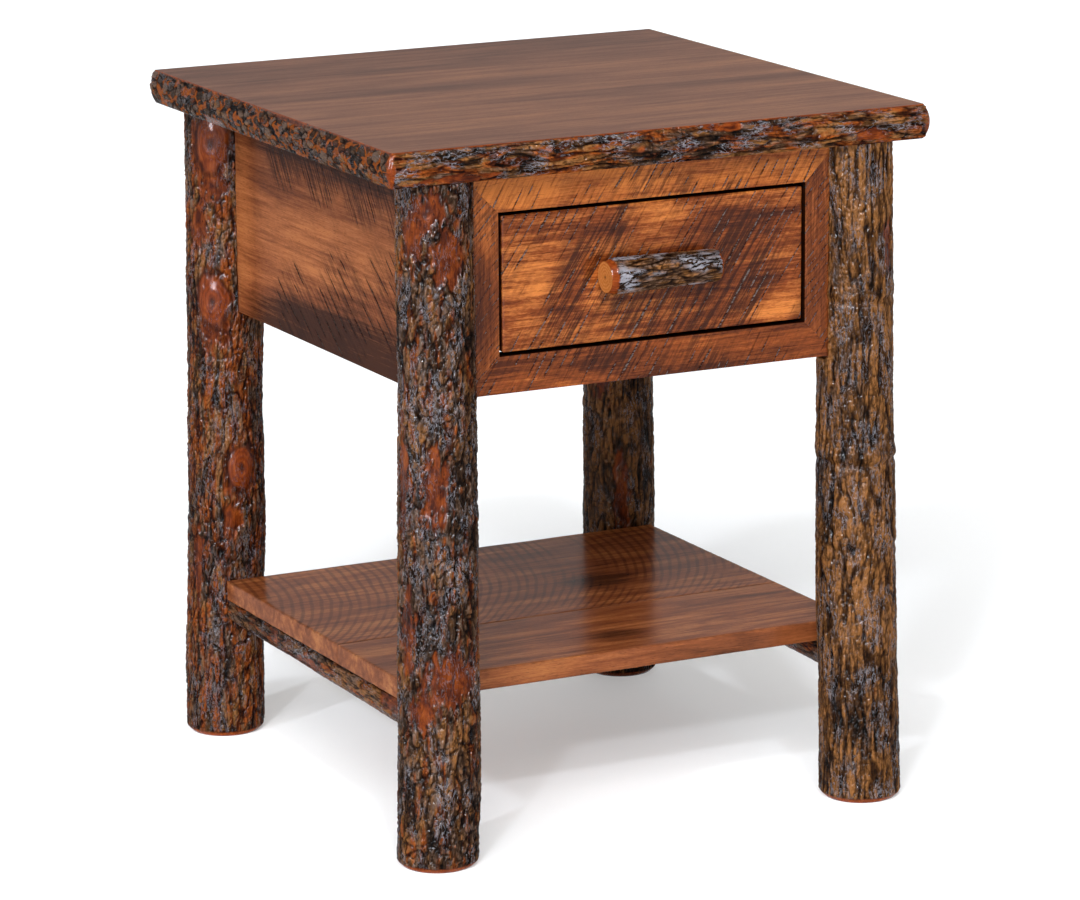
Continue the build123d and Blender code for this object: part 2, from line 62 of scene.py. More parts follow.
def waves(spots, cell, seed):
    # smooth noise, about -1 to 1, that changes over one cell
    place = spots / np.asarray(cell, float)
    base = np.floor(place)
    inside = place - base
    fade = inside ** 3 * (inside * (inside * 6 - 15) + 10)
    total = np.zeros(len(spots))
    for corner in range(8):
        step = np.array([corner & 1, corner >> 1 & 1, corner >> 2])
        slope = asVector(scrambled((base + step).astype(np.int64), seed)) * 2 - 1
        weight = np.prod(np.where(step, fade, 1 - fade), 1)
        total += weight * np.sum(slope * (inside - step), 1)
    return total * 1.9  # brings the range to about -1 to 1


def flakes(spots, cell, seed):
    # scattered plates: how far inside a plate a spot lies, and the plate's own number from 0 to 1
    place = spots / np.asarray(cell, float)
    base = np.floor(place)
    nearest = np.full(len(spots), 9.0)
    second = np.full(len(spots), 9.0)
    number = np.zeros(len(spots))
    for dx in (-1, 0, 1):
        for dy in (-1, 0, 1):
            for dz in (-1, 0, 1):
                cellHere = base + (dx, dy, dz)
                key = scrambled(cellHere.astype(np.int64), seed)
                away = np.linalg.norm(cellHere + asVector(key) - place, axis=1)
                closer = away < nearest
                second = np.where(closer, nearest, np.minimum(second, away))
                number = np.where(closer, (key >> np.uint32(7) & np.uint32(255)) / 255, number)
                nearest = np.minimum(nearest, away)
    return second - nearest, number


def ease(value, low, high):
    t = np.clip((value - low) / (high - low), 0, 1)
    return t * t * (3 - 2 * t)


# masks that a barked mesh hands to its material
barkMarks = ("crest", "peel", "knot", "bare", "ring", "chip")
farFromKnots = 3.0  # the knot mask where there is no knot; at a knot's rim it is 1
hairline = 0.05  # how far a dressed face stays inside its solid's, in mm

# what all bark shares; a cell is the width of its noise in mm, across, across and along the grain
barkShape = {
    "ridges": ((1.0, 1.0), (0.56, 0.6), (0.33, 0.4)),  # width against the widest ones, and weight
    "swayCell": (16, 16, 48),
    "slideCell": (9, 9, 14),
    "depthCell": (30, 30, 70),
    "beadCell": (2.6, 2.6, 4.6),
    "lumpCell": (45, 45, 110),
    "level": 0.62,  # the part of the crest's height that lies on the log's own surface
}


def barkRelief(spots, look):
    # spots in mm, third coordinate along the grain; gives the relief in mm and the masks that colour it
    shape = barkShape
    seed = look["seed"]
    wide = look["ridge"]
    drift = np.stack([waves(spots, shape["swayCell"], seed + number) for number in (1, 2)], 1)
    bent = spots.copy()
    bent[:, :2] += drift * look["sway"]
    bent[:, 2] += waves(spots, shape["slideCell"], seed + 3) * look["sway"] * 1.5
    crest = np.zeros(len(spots))
    share = 0.0
    for octave, (finer, weight) in enumerate(shape["ridges"]):
        across = wide * finer
        along = across * (1 + (look["stretch"] - 1) * (1 - 0.22 * octave))
        ridge = np.abs(waves(bent, (across, across, along), seed + 4 + octave * 20))
        crest += weight * ease(ridge, -0.02, look["furrow"] * (1.0 + 0.35 * octave))
        share += weight
    crest /= share
    cracks = ease(np.abs(waves(bent, (wide * 1.6, wide * 1.6, wide * 0.9), seed + 6)), 0.0, 0.13)
    crest *= 1 - look["cracks"] * (1 - cracks)
    depth = look["depth"] * (0.8 + 0.35 * waves(spots, shape["depthCell"], seed + 7))
    chip = np.zeros(len(spots))
    if look.get("plates"):
        inside, number = flakes(bent, look["plates"], seed + 8)
        plate = ease(inside, 0.03, 0.22)
        crest = crest * 0.3 + plate * (0.35 + 0.65 * number) * 0.85
        chip = ease(inside, 0.24, 0.1) * (0.4 + 0.6 * ease(waves(spots, (9, 9, 12), seed + 11), -0.3, 0.3))
    beads = waves(bent, shape["beadCell"], seed + 9)
    relief = depth * (crest - shape["level"]) + beads * look["beads"] * (1.15 - 0.6 * crest)
    relief += waves(spots, shape["lumpCell"], seed + 10) * look["lumps"]
    return relief, {"crest": crest, "chip": chip}


def raggedPatch(away, spots, seed, rough):
    # 1 inside a patch and 0 outside, with a torn edge; away is 1 on its outline
    torn = waves(spots, (6, 6, 20), seed) * 0.36 + waves(spots, (3, 3, 9), seed + 1) * 0.26
    crumbs = ease(waves(spots, (3.4, 3.4, 10), seed + 2), 0.42, 0.6) * ease(away, 0.25, 0.8)
    return ease(away + torn * rough, 1.12, 0.82) * (1 - crumbs)


def meshPiece(name, points, faces, flatFaces, marks, *materials, which=None):
    # points in mm; which says the material of each face where there are several
    mesh = bpy.data.meshes.new(name)
    mesh.from_pydata((points * mm).tolist(), [], faces)
    mesh.polygons.foreach_set("use_smooth", [not flat for flat in flatFaces])
    for mark in barkMarks:
        values = marks.get(mark, np.zeros(len(points)))
        mesh.attributes.new(mark, "FLOAT", "POINT").data.foreach_set("value", values.astype(np.float32))
    for material in materials:
        mesh.materials.append(material)
    if which is not None:
        mesh.polygons.foreach_set("material_index", which)
    mesh.update()
    piece = bpy.data.objects.new(name, mesh)
    bpy.context.scene.collection.objects.link(piece)
    return piece


def gridFaces(rows, columns, wrapped=True):
    across = columns if wrapped else columns - 1
    row, column = np.meshgrid(np.arange(rows - 1), np.arange(across), indexing="ij")
    following = (column + 1) % columns
    corners = (row * columns + column, row * columns + following)
    upper = ((row + 1) * columns + following, (row + 1) * columns + column)
    return np.stack([*corners, *upper], -1).reshape(-1, 4).tolist()


legShape = {
    "spacingAround": 1.2,
    "spacingUp": 1.5,
    "chamfer": 4.0,
    "chamferSlope": 0.95,
    "chamferRow": 1.6,  # height of the one row of points inside the chamfer
    "sandedIn": 0.6,  # how far the bare foot lies inside the bark
    "ledgeDrop": 3.5,  # the worn lip of the notch
    "ledgeReach": 30,  # how far below the notch the lip begins
    "axisAtHead": (215.0, 235.0),
    "axisAtFoot": (222.0, 242.6),
}

# Azimuths are in degrees from +X, all else in mm. A patch without bark is (azimuth, height, half width, half
# height), a knot (azimuth, height, size, bulge, openness) and a growth ring (height, swell, azimuth).
legs = {
    "leg_front_left": {
        "side": (-1, -1), "foot": 37.4, "head": 33.8, "bow": (2.0, -1.5), "seed": 100, "colour": "ash",
        "ridge": 8.5, "stretch": 2.8, "furrow": 0.3, "cracks": 0.5, "sway": 4.6, "depth": 3.4, "beads": 0.75,
        "lumps": 1.4,
        "patches": [
            (-120, 603, 17, 19), (-150, 583, 10, 26), (-94, 562, 15, 25), (-119, 356, 12, 40),
            (-166, 218, 9, 46), (-96, 181, 26, 27), (-141, 152, 12, 20), (-37, 209, 8, 22), (-178, 360, 6, 60),
            (60, 300, 14, 40), (120, 480, 10, 50), (20, 120, 12, 30),
        ],
        "knots": [(-124, 604, 9, 1.4, 0.0)],
        "rings": [(322, 1.2, -115), (424, 1.0, -120)],
    },
    "leg_front_right": {
        "side": (1, -1), "foot": 38.0, "head": 34.2, "bow": (-2.0, 0.5), "seed": 200, "colour": "gold",
        "ridge": 7.6, "stretch": 8.0, "furrow": 0.26, "cracks": 0.25, "sway": 2.6, "depth": 3.0, "beads": 0.5,
        "lumps": 0.9,
        "patches": [(-60, 530, 7, 26), (60, 200, 10, 36)],
        "knots": [(-106, 551, 9, 1.4, 0.0)],
        "rings": [(487, 1.5, -110), (333, 1.8, -105), (251, 1.2, -102), (120, 1.0, -120)],
    },
    "leg_rear_left": {
        "side": (-1, 1), "foot": 38.0, "head": 35.4, "bow": (1.5, -1.0), "seed": 300, "colour": "rust",
        "ridge": 7.0, "stretch": 5.2, "furrow": 0.28, "cracks": 0.4, "sway": 3.2, "depth": 3.2, "beads": 0.65,
        "lumps": 1.5,
        "patches": [
            (-131, 572, 16, 38), (-154, 512, 12, 24), (-131, 424, 15, 37), (-158, 590, 7, 26),
            (-92, 268, 15, 28), (-104, 222, 9, 16), (-160, 175, 6, 40), (150, 330, 10, 40), (80, 480, 12, 40),
        ],
        "knots": [(-131, 594, 15, 3.5, 1.0), (-131, 440, 14, 4.0, 1.0), (-90, 274, 12, 5.0, 1.0)],
        "rings": [(375, 1.0, -130)],
    },
    # the rear right leg takes a darker bark mix, which is painted shade over its whole bark
    "leg_rear_right": {
        "side": (1, 1), "foot": 36.6, "head": 34.6, "bow": (-1.0, -1.0), "seed": 400, "colour": "paintedShade",
        "ridge": 7.4, "stretch": 7.0, "furrow": 0.27, "cracks": 0.3, "sway": 2.6, "depth": 3.0, "beads": 0.5,
        "lumps": 1.0,
        "patches": [(-112, 190, 9, 46), (-150, 330, 12, 30), (40, 420, 12, 40), (90, 160, 12, 30)],
        "knots": [(70, 300, 12, 3.5, 0.6)],
        "rings": [(400, 1.2, -120)],
    },
}


def turned(angle):
    # an angle brought to -pi..pi
    return (angle + math.pi) % (2 * math.pi) - math.pi


def logFeatures(angles, along, radius, spots, look):
    # patches without bark, knots and growth rings of a log
    extra = np.zeros(len(angles))
    peel = np.zeros(len(angles))
    knot = np.full(len(angles), farFromKnots)
    seed = look["seed"] + 50
    for number, (azimuth, height, halfWide, halfTall) in enumerate(look.get("patches", ())):
        sideways = turned(angles - math.radians(azimuth)) * radius
        away = np.hypot(sideways / halfWide, (along - height) / halfTall)
        peel = np.maximum(peel, raggedPatch(away, spots, seed + number * 3, 1.25))
    for azimuth, height, size, bulge, openness in look.get("knots", ()):
        sideways = turned(angles - math.radians(azimuth)) * radius
        away = np.hypot(sideways, (along - height) * 0.6) / size
        away = away * (1 + 0.16 * waves(spots, (11, 11, 14), seed + 41))
        knot = np.minimum(knot, away + (1 - openness) * 2)
        extra += bulge * np.exp(-(away * 0.75) ** 2) - bulge * 0.3 * np.exp(-(away * 4) ** 2)
        extra += np.cos(away * 11) * 0.2 * ease(away, 1.2, 0.3)
        peel = np.maximum(peel, raggedPatch(away / 1.25, spots, seed + 77, 0.8) * openness)
    for height, swell, azimuth in look.get("rings", ()):
        facing = 0.35 + 0.65 * ease(np.cos(angles - math.radians(azimuth)), -0.2, 0.8)
        wavy = height + 4 * waves(spots * (1, 1, 0), (20, 20, 20), seed + 31)
        offset = along - wavy
        extra += swell * facing * (np.exp(-(offset / 7) ** 2) - 1.3 * np.exp(-((offset + 6) / 3) ** 2))
    return extra, peel, knot


def dressedRadius(angles, along, radius, look):
    # radius of the barked log, with its masks; all arrays are flat
    spots = np.stack([np.cos(angles) * radius, np.sin(angles) * radius, along], 1)
    spots[:, 2] += 15 * waves(spots, (60, 60, 200), look["seed"] + 20)
    bent = angles.copy()
    for azimuth, height, size, bulge, openness in look.get("knots", ()):
        sideways = turned(angles - math.radians(azimuth)) * radius
        near = size ** 2 / (sideways ** 2 + ((along - height) * 0.6) ** 2 + size ** 2)
        bent -= sideways * near * 0.55 / radius  # the grain parts round a knot
    flowing = np.stack([np.cos(bent) * radius, np.sin(bent) * radius, spots[:, 2]], 1)
    relief, marks = barkRelief(flowing, look)
    extra, peel, knot = logFeatures(angles, along, radius, spots, look)
    smooth = waves(flowing, (6, 6, 34), look["seed"] + 21) * 0.35 - 0.35 * look["depth"]
    marks.update(peel=peel, knot=knot)
    return radius + relief * (1 - peel) + smooth * peel + extra, marks


def legPiece(name, look, material):
    shape = legShape
    sideX, sideY = look["side"]
    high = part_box(name)[1]
    caseLow, caseHigh = (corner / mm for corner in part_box("case_side_left"))
    headX, headY = shape["axisAtHead"]
    footX, footY = shape["axisAtFoot"]
    height = high.z / mm
    notch = caseLow.z
    columns = round(2 * math.pi * look["foot"] / shape["spacingAround"])
    below = np.linspace(shape["chamfer"], notch, round(notch / shape["spacingUp"]))
    above = np.linspace(notch, height, round((height - notch) / shape["spacingUp"]))
    levels = np.concatenate([[0.0, shape["chamferRow"]], below, above])
    rows = len(levels)
    ledgeRow = 2 + len(below)  # first row above the ledge

    rise = levels / height
    belly = np.sin(math.pi * rise)
    centreX = sideX * (footX + (headX - footX) * rise) + look["bow"][0] * belly
    centreY = sideY * (footY + (headY - footY) * rise) + look["bow"][1] * belly
    plain = look["foot"] + (look["head"] - look["foot"]) * rise

    steps = 2 * math.pi * (np.arange(columns) + 0.5) / columns
    angles = np.tile(steps, rows)
    along = np.repeat(levels, columns)
    radius, marks = dressedRadius(angles, along, np.repeat(plain, columns), look)
    atFoot = ease(along, shape["chamfer"] + 2.5, shape["chamfer"] - 1.0)
    radius += (np.repeat(plain, columns) - shape["sandedIn"] - radius) * atFoot
    radius -= np.clip(shape["chamfer"] - along, 0, None) * shape["chamferSlope"]
    marks["bare"] = ease(along, shape["chamfer"] + 1.2, shape["chamfer"] + 0.2)
    marks["ring"] = np.ones(len(angles))

    outX = (radius * np.cos(angles)).reshape(rows, columns) * sideX
    outY = (radius * np.sin(angles)).reshape(rows, columns) * sideY
    z = along.reshape(rows, columns).copy()
    bare = marks["bare"].reshape(rows, columns)

    # the quarter that the case takes, in coordinates that point out of the table
    nominal = plain[ledgeRow:].mean()
    gapX = -caseLow.x - np.abs(centreX)
    gapY = caseHigh.y - np.abs(centreY)
    flatX, flatY = gapX[ledgeRow:].mean(), gapY[ledgeRow:].mean()
    taken = (nominal * np.cos(steps) * sideX < flatX) & (nominal * np.sin(steps) * sideY < flatY)
    order = np.arctan2(np.sin(steps) * sideY, np.cos(steps) * sideX) % (2 * math.pi)
    inside = np.where(taken)[0]
    inside = inside[np.argsort(order[inside])]
    faceX = math.sqrt(nominal ** 2 - flatY ** 2) + flatX
    faceY = math.sqrt(nominal ** 2 - flatX ** 2) + flatY
    corner = round((len(inside) - 1) * faceX / (faceX + faceY))
    for row in range(ledgeRow, rows):
        gx, gy = gapX[row], gapY[row]
        first, last = inside[0], inside[-1]
        reachX = math.sqrt(np.hypot(outX[row, first], outY[row, first]) ** 2 - gy * gy)
        reachY = math.sqrt(np.hypot(outX[row, last], outY[row, last]) ** 2 - gx * gx)
        one = np.linspace(0, 1, corner + 1)
        two = np.linspace(0, 1, len(inside) - corner)
        pathX = np.concatenate([-reachX + one * (reachX + gx), np.full(len(two) - 1, gx)])
        pathY = np.concatenate([np.full(len(one), gy), (gy - two * (gy + reachY))[1:]])
        outX[row, inside], outY[row, inside] = pathX, pathY
        stray = (outX[row] < gx) & (outY[row] < gy)
        stray[inside] = False
        toX, toY = gx - outX[row], gy - outY[row]
        outX[row] = np.where(stray & (toX <= toY), gx, outX[row])
        outY[row] = np.where(stray & (toX > toY), gy, outY[row])
    bare[ledgeRow:, inside] = 1.0
    lip = np.zeros(columns)
    lip[inside] = shape["ledgeDrop"]
    z[2:ledgeRow] -= lip * ease(z[2:ledgeRow], notch - shape["ledgeReach"], notch)

    x, y = sideX * outX + centreX[:, None], sideY * outY + centreY[:, None]
    points = np.stack([x, y, z], -1).reshape(-1, 3)
    faces, flat = [], []
    isInside = np.zeros(columns, bool)
    isInside[inside] = True
    shared = {}  # the first row above the ledge shares the points that the case doesn't take
    for column in range(columns):
        if not isInside[column]:
            shared[ledgeRow * columns + column] = (ledgeRow - 1) * columns + column
    for face in gridFaces(rows, columns):
        row, column = divmod(face[0], columns)
        following = (column + 1) % columns
        if row in (ledgeRow - 1, ledgeRow):
            face = list(dict.fromkeys(shared.get(corner, corner) for corner in face))
        if len(face) > 2:
            faces.append(face)
            onCase = isInside[column] and isInside[following]
            flat.append(row == ledgeRow - 1 or (row >= ledgeRow and onCase))
    faces.append(list(range(columns))[::-1])
    faces.append([(rows - 1) * columns + column for column in range(columns)])
    flat += [True, True]
    used = np.unique(np.concatenate([np.array(face) for face in faces]))
    renumber = {int(old): new for new, old in enumerate(used)}
    faces = [[renumber[corner] for corner in face] for face in faces]
    marks["bare"] = bare.ravel()
    marks = {mark: values[used] for mark, values in marks.items()}
    piece = meshPiece(name.replace("leg", "log_leg"), points[used], faces, flat, marks, material)
    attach(piece, "table")
    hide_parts(name)
    return piece


stretcher = {
    "body": "table", "grain": 1, "spacing": (1.1, 1.5), "bevel": (0.5, 0.5), "flatTop": 142.0, "colour": "ash",
    "ridge": 5.4, "stretch": 8.0, "furrow": 0.26, "cracks": 0.12, "sway": 1.6, "depth": 1.5, "beads": 0.25,
    "lumps": 0.6,
}

# The ends are ((x, y, z), radius). For patches and knots the height is the place along the log.
sticks = {
    "stretcher_left": {
        **stretcher, "seed": 500, "ends": (((-219.4, -209.2, 127.5), 15.5), ((-219.7, 206.9, 129.5), 13.5)),
        "patches": [(150, -170, 12, 26), (170, 92, 8, 12), (95, -120, 7, 40), (200, 20, 5, 50)],
        "knots": [(175, 60, 6, 1.2, 0.3)],
    },
    "stretcher_right": {
        **stretcher, "seed": 600, "ends": (((219.4, -207.5, 127.5), 15.5), ((220.0, 208.2, 129.5), 13.5)),
        "patches": [(10, -100, 9, 40), (20, 120, 8, 20)],
        "knots": [(350, 20, 6, 1.2, 0.3)],
    },
    "drawer_pull": {
        "body": "drawer", "grain": 0, "seed": 705, "spacing": (0.75, 0.8), "bevel": (6.5, 1.7), "darkEnd": 5.0,
        "ends": (((-57.5, -259.9, 528.5), 16.4), ((57.5, -258.1, 528.5), 14.6)), "flatBack": -246.0,
        "ridge": 5.2, "stretch": 5.0, "furrow": 0.28, "cracks": 0.25, "sway": 1.8, "depth": 1.6, "beads": 0.3,
        "lumps": 0.7, "colour": "silver",
    },
}
endRings = 5  # rings of points from the rim of a sawn end to its pith


def stickPiece(name, look, material):
    (start, startRadius), (finish, finishRadius) = look["ends"]
    grain = look["grain"]
    length = finish[grain] - start[grain]
    around, onward = look["spacing"]
    columns = round(2 * math.pi * startRadius / around)
    bevelLong, bevelDeep = look["bevel"]
    steps = np.linspace(0, length, round(length / onward))
    rows = len(steps)
    turns = 2 * math.pi * np.arange(columns) / columns
    angles = np.tile(turns, rows)
    travel = np.repeat(steps, columns)
    share = travel / length
    plain = startRadius + (finishRadius - startRadius) * share
    radius, marks = dressedRadius(angles, travel + start[grain], plain, look)
    fromEnd = np.minimum(travel, length - travel + look.get("darkEnd", 0))
    skin = np.stack([np.cos(angles) * plain, np.sin(angles) * plain, travel], 1)
    ragged = bevelLong + 1.2 * waves(skin, (4, 4, 90), look["seed"] + 9)
    bare = ease(fromEnd, ragged + 0.4, ragged - 0.4)
    sanded = plain - 0.5 - np.clip(bevelLong - fromEnd, 0, None) / bevelLong * bevelDeep
    radius = radius + (sanded - radius) * bare
    marks["bare"] = bare
    marks["ring"] = np.ones(len(angles))
    # a log along Y turns from X up to Z, one along X from -Y up to Z
    sideways = radius * np.cos(angles)
    upward = radius * np.sin(angles)
    points = np.array(start) + (np.array(finish) - np.array(start)) * share[:, None]
    if grain == 1:
        points[:, 0] += sideways
    else:
        points[:, 1] -= sideways
    points[:, 2] += upward
    if "flatTop" in look:
        points[:, 2] = np.minimum(points[:, 2], look["flatTop"] - hairline)
    if "flatBack" in look:
        points[:, 1] = np.minimum(points[:, 1], look["flatBack"] - hairline)
    faces = gridFaces(rows, columns)
    if grain == 1:
        faces = [face[::-1] for face in faces]
    flat = [False] * len(faces)
    # sawn ends
    extraPoints, extraMarks = [], {mark: [] for mark in barkMarks}
    for row, outward in ((0, -1), (rows - 1, 1)):
        asIs = (outward < 0) == (grain == 1)  # whether a face there turns the right way
        rim = np.arange(columns) + row * columns
        pith = points[rim].mean(0)
        previous = list(rim)
        base = len(points) + len(extraPoints)
        for ring in range(1, endRings):
            scale = 1 - ring / endRings
            here = base + (ring - 1) * columns + np.arange(columns)
            extraPoints.extend(pith + (points[rim] - pith) * scale)
            values = {"bare": 1.0, "ring": scale, "knot": farFromKnots}
            for mark in barkMarks:
                extraMarks[mark].extend([values.get(mark, 0.0)] * columns)
            for column in range(columns):
                following = (column + 1) % columns
                face = [previous[column], previous[following], int(here[following]), int(here[column])]
                faces.append([int(corner) for corner in (face if asIs else face[::-1])])
                flat.append(True)
            previous = [int(corner) for corner in here]
        centreIndex = len(points) + len(extraPoints)
        extraPoints.append(pith)
        for mark in barkMarks:
            extraMarks[mark].append({"bare": 1.0, "knot": farFromKnots}.get(mark, 0.0))
        for column in range(columns):
            face = [previous[column], previous[(column + 1) % columns], centreIndex]
            faces.append(face if asIs else face[::-1])
            flat.append(True)
    none = np.zeros(len(points))
    marks = {mark: np.concatenate([marks.get(mark, none), extraMarks[mark]]) for mark in barkMarks}
    points = np.concatenate([points, np.array(extraPoints)])
    piece = meshPiece("log_" + name.replace("drawer_", ""), points, faces, flat, marks, material)
    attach(piece, look["body"])
    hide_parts(name)
    return piece


stripShape = {
    "spacing": (1.1, 0.85),
    "lip": 4.0, "bulge": 5.5, "arcRadius": 26.02, "halfAngle": 37.95,
    "lipPoints": 3,
    "cornerRound": 6.0,  # worn corner at a mitre
    "fade": 3,  # length over which the bark ends
}

# Grain is the axis of a strip, and out its side of the top. A patch is (along, up, half long, half tall), and a
# knot (along, up, size, bulge, openness). Worn ends say where the bark stops, in mm inward from the ends of the
# boards.
strips = {
    "top_trim_front": {
        "grain": 0, "out": (0, -1), "mitres": (1, 1), "wornEnds": (-1, -3), "seed": 800, "colour": "striped",
        "ridge": 6.4, "stretch": 6.5, "furrow": 0.3, "cracks": 0.25, "sway": 3.4, "depth": 3.4, "beads": 0.5,
        "lumps": 0.7, "patches": [(-205, 5, 34, 4), (60, 28, 30, 3), (215, 8, 20, 5)],
        "knots": [(-160, 17, 8, 1.0, 0.1), (-28, 16, 10, 1.8, 0.62), (156, 15, 8, 1.0, 0.2)],
    },
    "top_trim_left": {
        "grain": 1, "out": (-1, 0), "mitres": (1, 0), "wornEnds": (-1, 2), "seed": 850, "colour": "plated",
        "ridge": 5.0, "stretch": 3.0, "furrow": 0.3, "cracks": 0.4, "sway": 2.4, "depth": 2.8, "beads": 0.5,
        "lumps": 0.8, "plates": (10, 9, 13), "patches": [(120, 3, 30, 4), (-60, 30, 40, 3)],
        "knots": [(60, 16, 7, 1.0, 0.1)],
    },
    "top_trim_right": {
        "grain": 1, "out": (1, 0), "mitres": (1, 0), "wornEnds": (-1, 2), "seed": 900, "colour": "striped",
        "ridge": 6.2, "stretch": 6.0, "furrow": 0.3, "cracks": 0.3, "sway": 3.0, "depth": 3.2, "beads": 0.5,
        "lumps": 0.7, "patches": [(-120, 26, 30, 4), (150, 8, 26, 6)],
        "knots": [(-30, 17, 9, 1.3, 0.5)],
    },
}


def stripProfile(thick):
    # outline of a strip from its underside round to its top: out, up and the way the bark faces
    shape = stripShape
    pace = shape["spacing"][1]
    half = math.radians(shape["halfAngle"])
    bends = np.linspace(-half, half, round(2 * half * shape["arcRadius"] / pace))
    centreOut = shape["lip"] + shape["bulge"] - shape["arcRadius"]
    lip = np.linspace(0, shape["lip"], shape["lipPoints"] + 1)[:-1]
    out = np.concatenate([lip, centreOut + shape["arcRadius"] * np.cos(bends), lip[::-1]])
    up = np.concatenate([0 * lip, thick / 2 + shape["arcRadius"] * np.sin(bends), 0 * lip + thick])
    upward = np.ones(shape["lipPoints"]) * math.pi / 2
    facing = np.concatenate([-upward, bends, upward])
    fromEdge = np.minimum(up, thick - up)
    return out, up, facing, ease(fromEdge, 0.0, 2.5)


def stripPiece(name, look, material, topMaterial):
    shape = stripShape
    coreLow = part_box("top_board_1")[0] / mm
    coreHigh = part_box("top_board_4")[1] / mm
    grain = look["grain"]
    start, finish = coreLow[grain], coreHigh[grain]
    if grain == 0:
        start = -finish
    out, up, facing, barked = stripProfile(coreHigh.z - coreLow.z)
    reach = out.max()
    shrink = 1 - (1 - math.sqrt(0.5)) * shape["cornerRound"] / reach
    starts = start - look["mitres"][0] * shrink * out
    ends = finish + look["mitres"][1] * shrink * out
    rows, columns = round((finish - start) / shape["spacing"][0]), len(out)
    share = np.linspace(0, 1, rows)[:, None]
    along = starts + (ends - starts) * share
    fullness = np.maximum(out, 0.01) / reach
    fromCorner = np.full(along.shape, 99.0)
    for mitred, distance in zip(look["mitres"], (along - (start - out), finish + out - along)):
        if mitred:
            fromCorner = np.minimum(fromCorner, distance / fullness)
    inset = np.clip(shape["cornerRound"] - fromCorner, 0, None)
    cut = (shape["cornerRound"] - np.sqrt(shape["cornerRound"] ** 2 - inset ** 2)) * fullness
    outHere = out - cut

    flat = along.ravel()
    tall = np.tile(up, rows)
    spots = np.stack([outHere.ravel(), tall, flat], 1)
    flowing = spots.copy()
    for middle, height, size, bulge, openness in look["knots"]:
        near = size ** 2 / (((flat - middle) * 0.6) ** 2 + (tall - height) ** 2 + size ** 2)
        flowing[:, 1] -= (tall - height) * near * 0.7
    relief, marks = barkRelief(flowing, look)
    peel = np.zeros(len(flat))
    knot = np.full(len(flat), farFromKnots)
    for number, (middle, height, halfLong, halfTall) in enumerate(look["patches"]):
        away = np.hypot((flat - middle) / halfLong, (tall - height) / halfTall)
        peel = np.maximum(peel, raggedPatch(away, spots, look["seed"] + 60 + number, 1.2))
    for middle, height, size, bulge, openness in look["knots"]:
        away = np.hypot((flat - middle) * 0.72, tall - height) / size
        away = away * (1 + 0.16 * waves(spots, (11, 11, 14), look["seed"] + 41))
        knot = np.minimum(knot, away + (1 - openness) * 2)
        relief += bulge * np.exp(-(away * 0.9) ** 2) - bulge * 0.5 * np.exp(-(away * 3.5) ** 2)
        relief += np.cos(away * 13) * 0.22 * ease(away, 1.3, 0.4)
    ragged = waves(spots, (5, 5, 5), look["seed"] + 12)
    worn = np.zeros(len(flat))
    for fromEnd, edge in zip((flat - start, finish - flat), look["wornEnds"]):
        worn = np.maximum(worn, ease(fromEnd, edge + ragged * 3, edge - shape["fade"] + ragged * 3))
    rubbed = ease(tall, up.max() - 1.5 + ragged * 0.9, up.max() - 0.7 + ragged * 0.9)
    bare = np.maximum(worn, rubbed)
    smooth = 0.25 * waves(spots, (8, 8, 30), look["seed"] + 13) - 0.35
    relief = relief * (1 - peel) + smooth * peel
    skin = np.tile(barked, rows)
    relief = relief * (1 - worn) * skin - 0.25 * worn * skin * ease(fromCorner.ravel(), 0, 3)
    marks.update(peel=peel, knot=knot, bare=bare, ring=np.full(len(flat), 2.0))

    turn = np.tile(facing, rows)
    proud = outHere.ravel() + relief * np.cos(turn)
    rise = tall + relief * np.sin(turn)
    points = np.zeros((len(flat), 3))
    points[:, grain] = flat
    other = 1 - grain
    side = look["out"][other]
    edge = coreLow[other] if side < 0 else coreHigh[other]
    points[:, other] = edge + side * proud
    points[:, 2] = coreLow.z + rise
    faces = gridFaces(rows, columns)
    columnOf = np.tile(np.arange(columns), rows - 1)
    onTop = (columnOf >= columns - 1 - shape["lipPoints"]) & (columnOf < columns - 1)
    isLip = (columnOf < shape["lipPoints"]) | (columnOf >= columns - 1 - shape["lipPoints"])
    faces.append(list(range(columns))[::-1])
    faces.append([(rows - 1) * columns + column for column in range(columns)])
    if (grain == 0) == (side < 0):
        faces = [face[::-1] for face in faces]
    which = np.concatenate([onTop, [False, False]]).astype(int)
    newName = name.replace("top_trim", "bark_strip")
    flatFaces = [*isLip, True, True]
    piece = meshPiece(newName, points, faces, flatFaces, marks, material, topMaterial, which=which)
    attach(piece, "table")
    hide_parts(name)
    return piece


# edge is the radius of the eased edges, and sawn the depth of the saw marks
planks = {
    "shelf_board_front": {"body": "table", "spacing": 2.6, "edge": 1.2, "grain": 0, "sawn": 0.22, "seed": 20},
    "shelf_board_rear": {"body": "table", "spacing": 2.6, "edge": 1.2, "grain": 0, "sawn": 0.22, "seed": 21},
    "drawer_front": {"body": "drawer", "spacing": 1.9, "edge": 1.5, "grain": 0, "sawn": 0.25, "seed": 22},
}


def lattice(low, high, edge, spacing):
    # positions along one side, closer together at the rounded edges
    inner = max(round((high - low - 2 * edge) / spacing), 1)
    rounded = edge * np.array([0, 0.3, 0.65])
    between = np.linspace(low + edge, high - edge, inner + 1)
    return np.concatenate([low + rounded, between, high - rounded[::-1]])


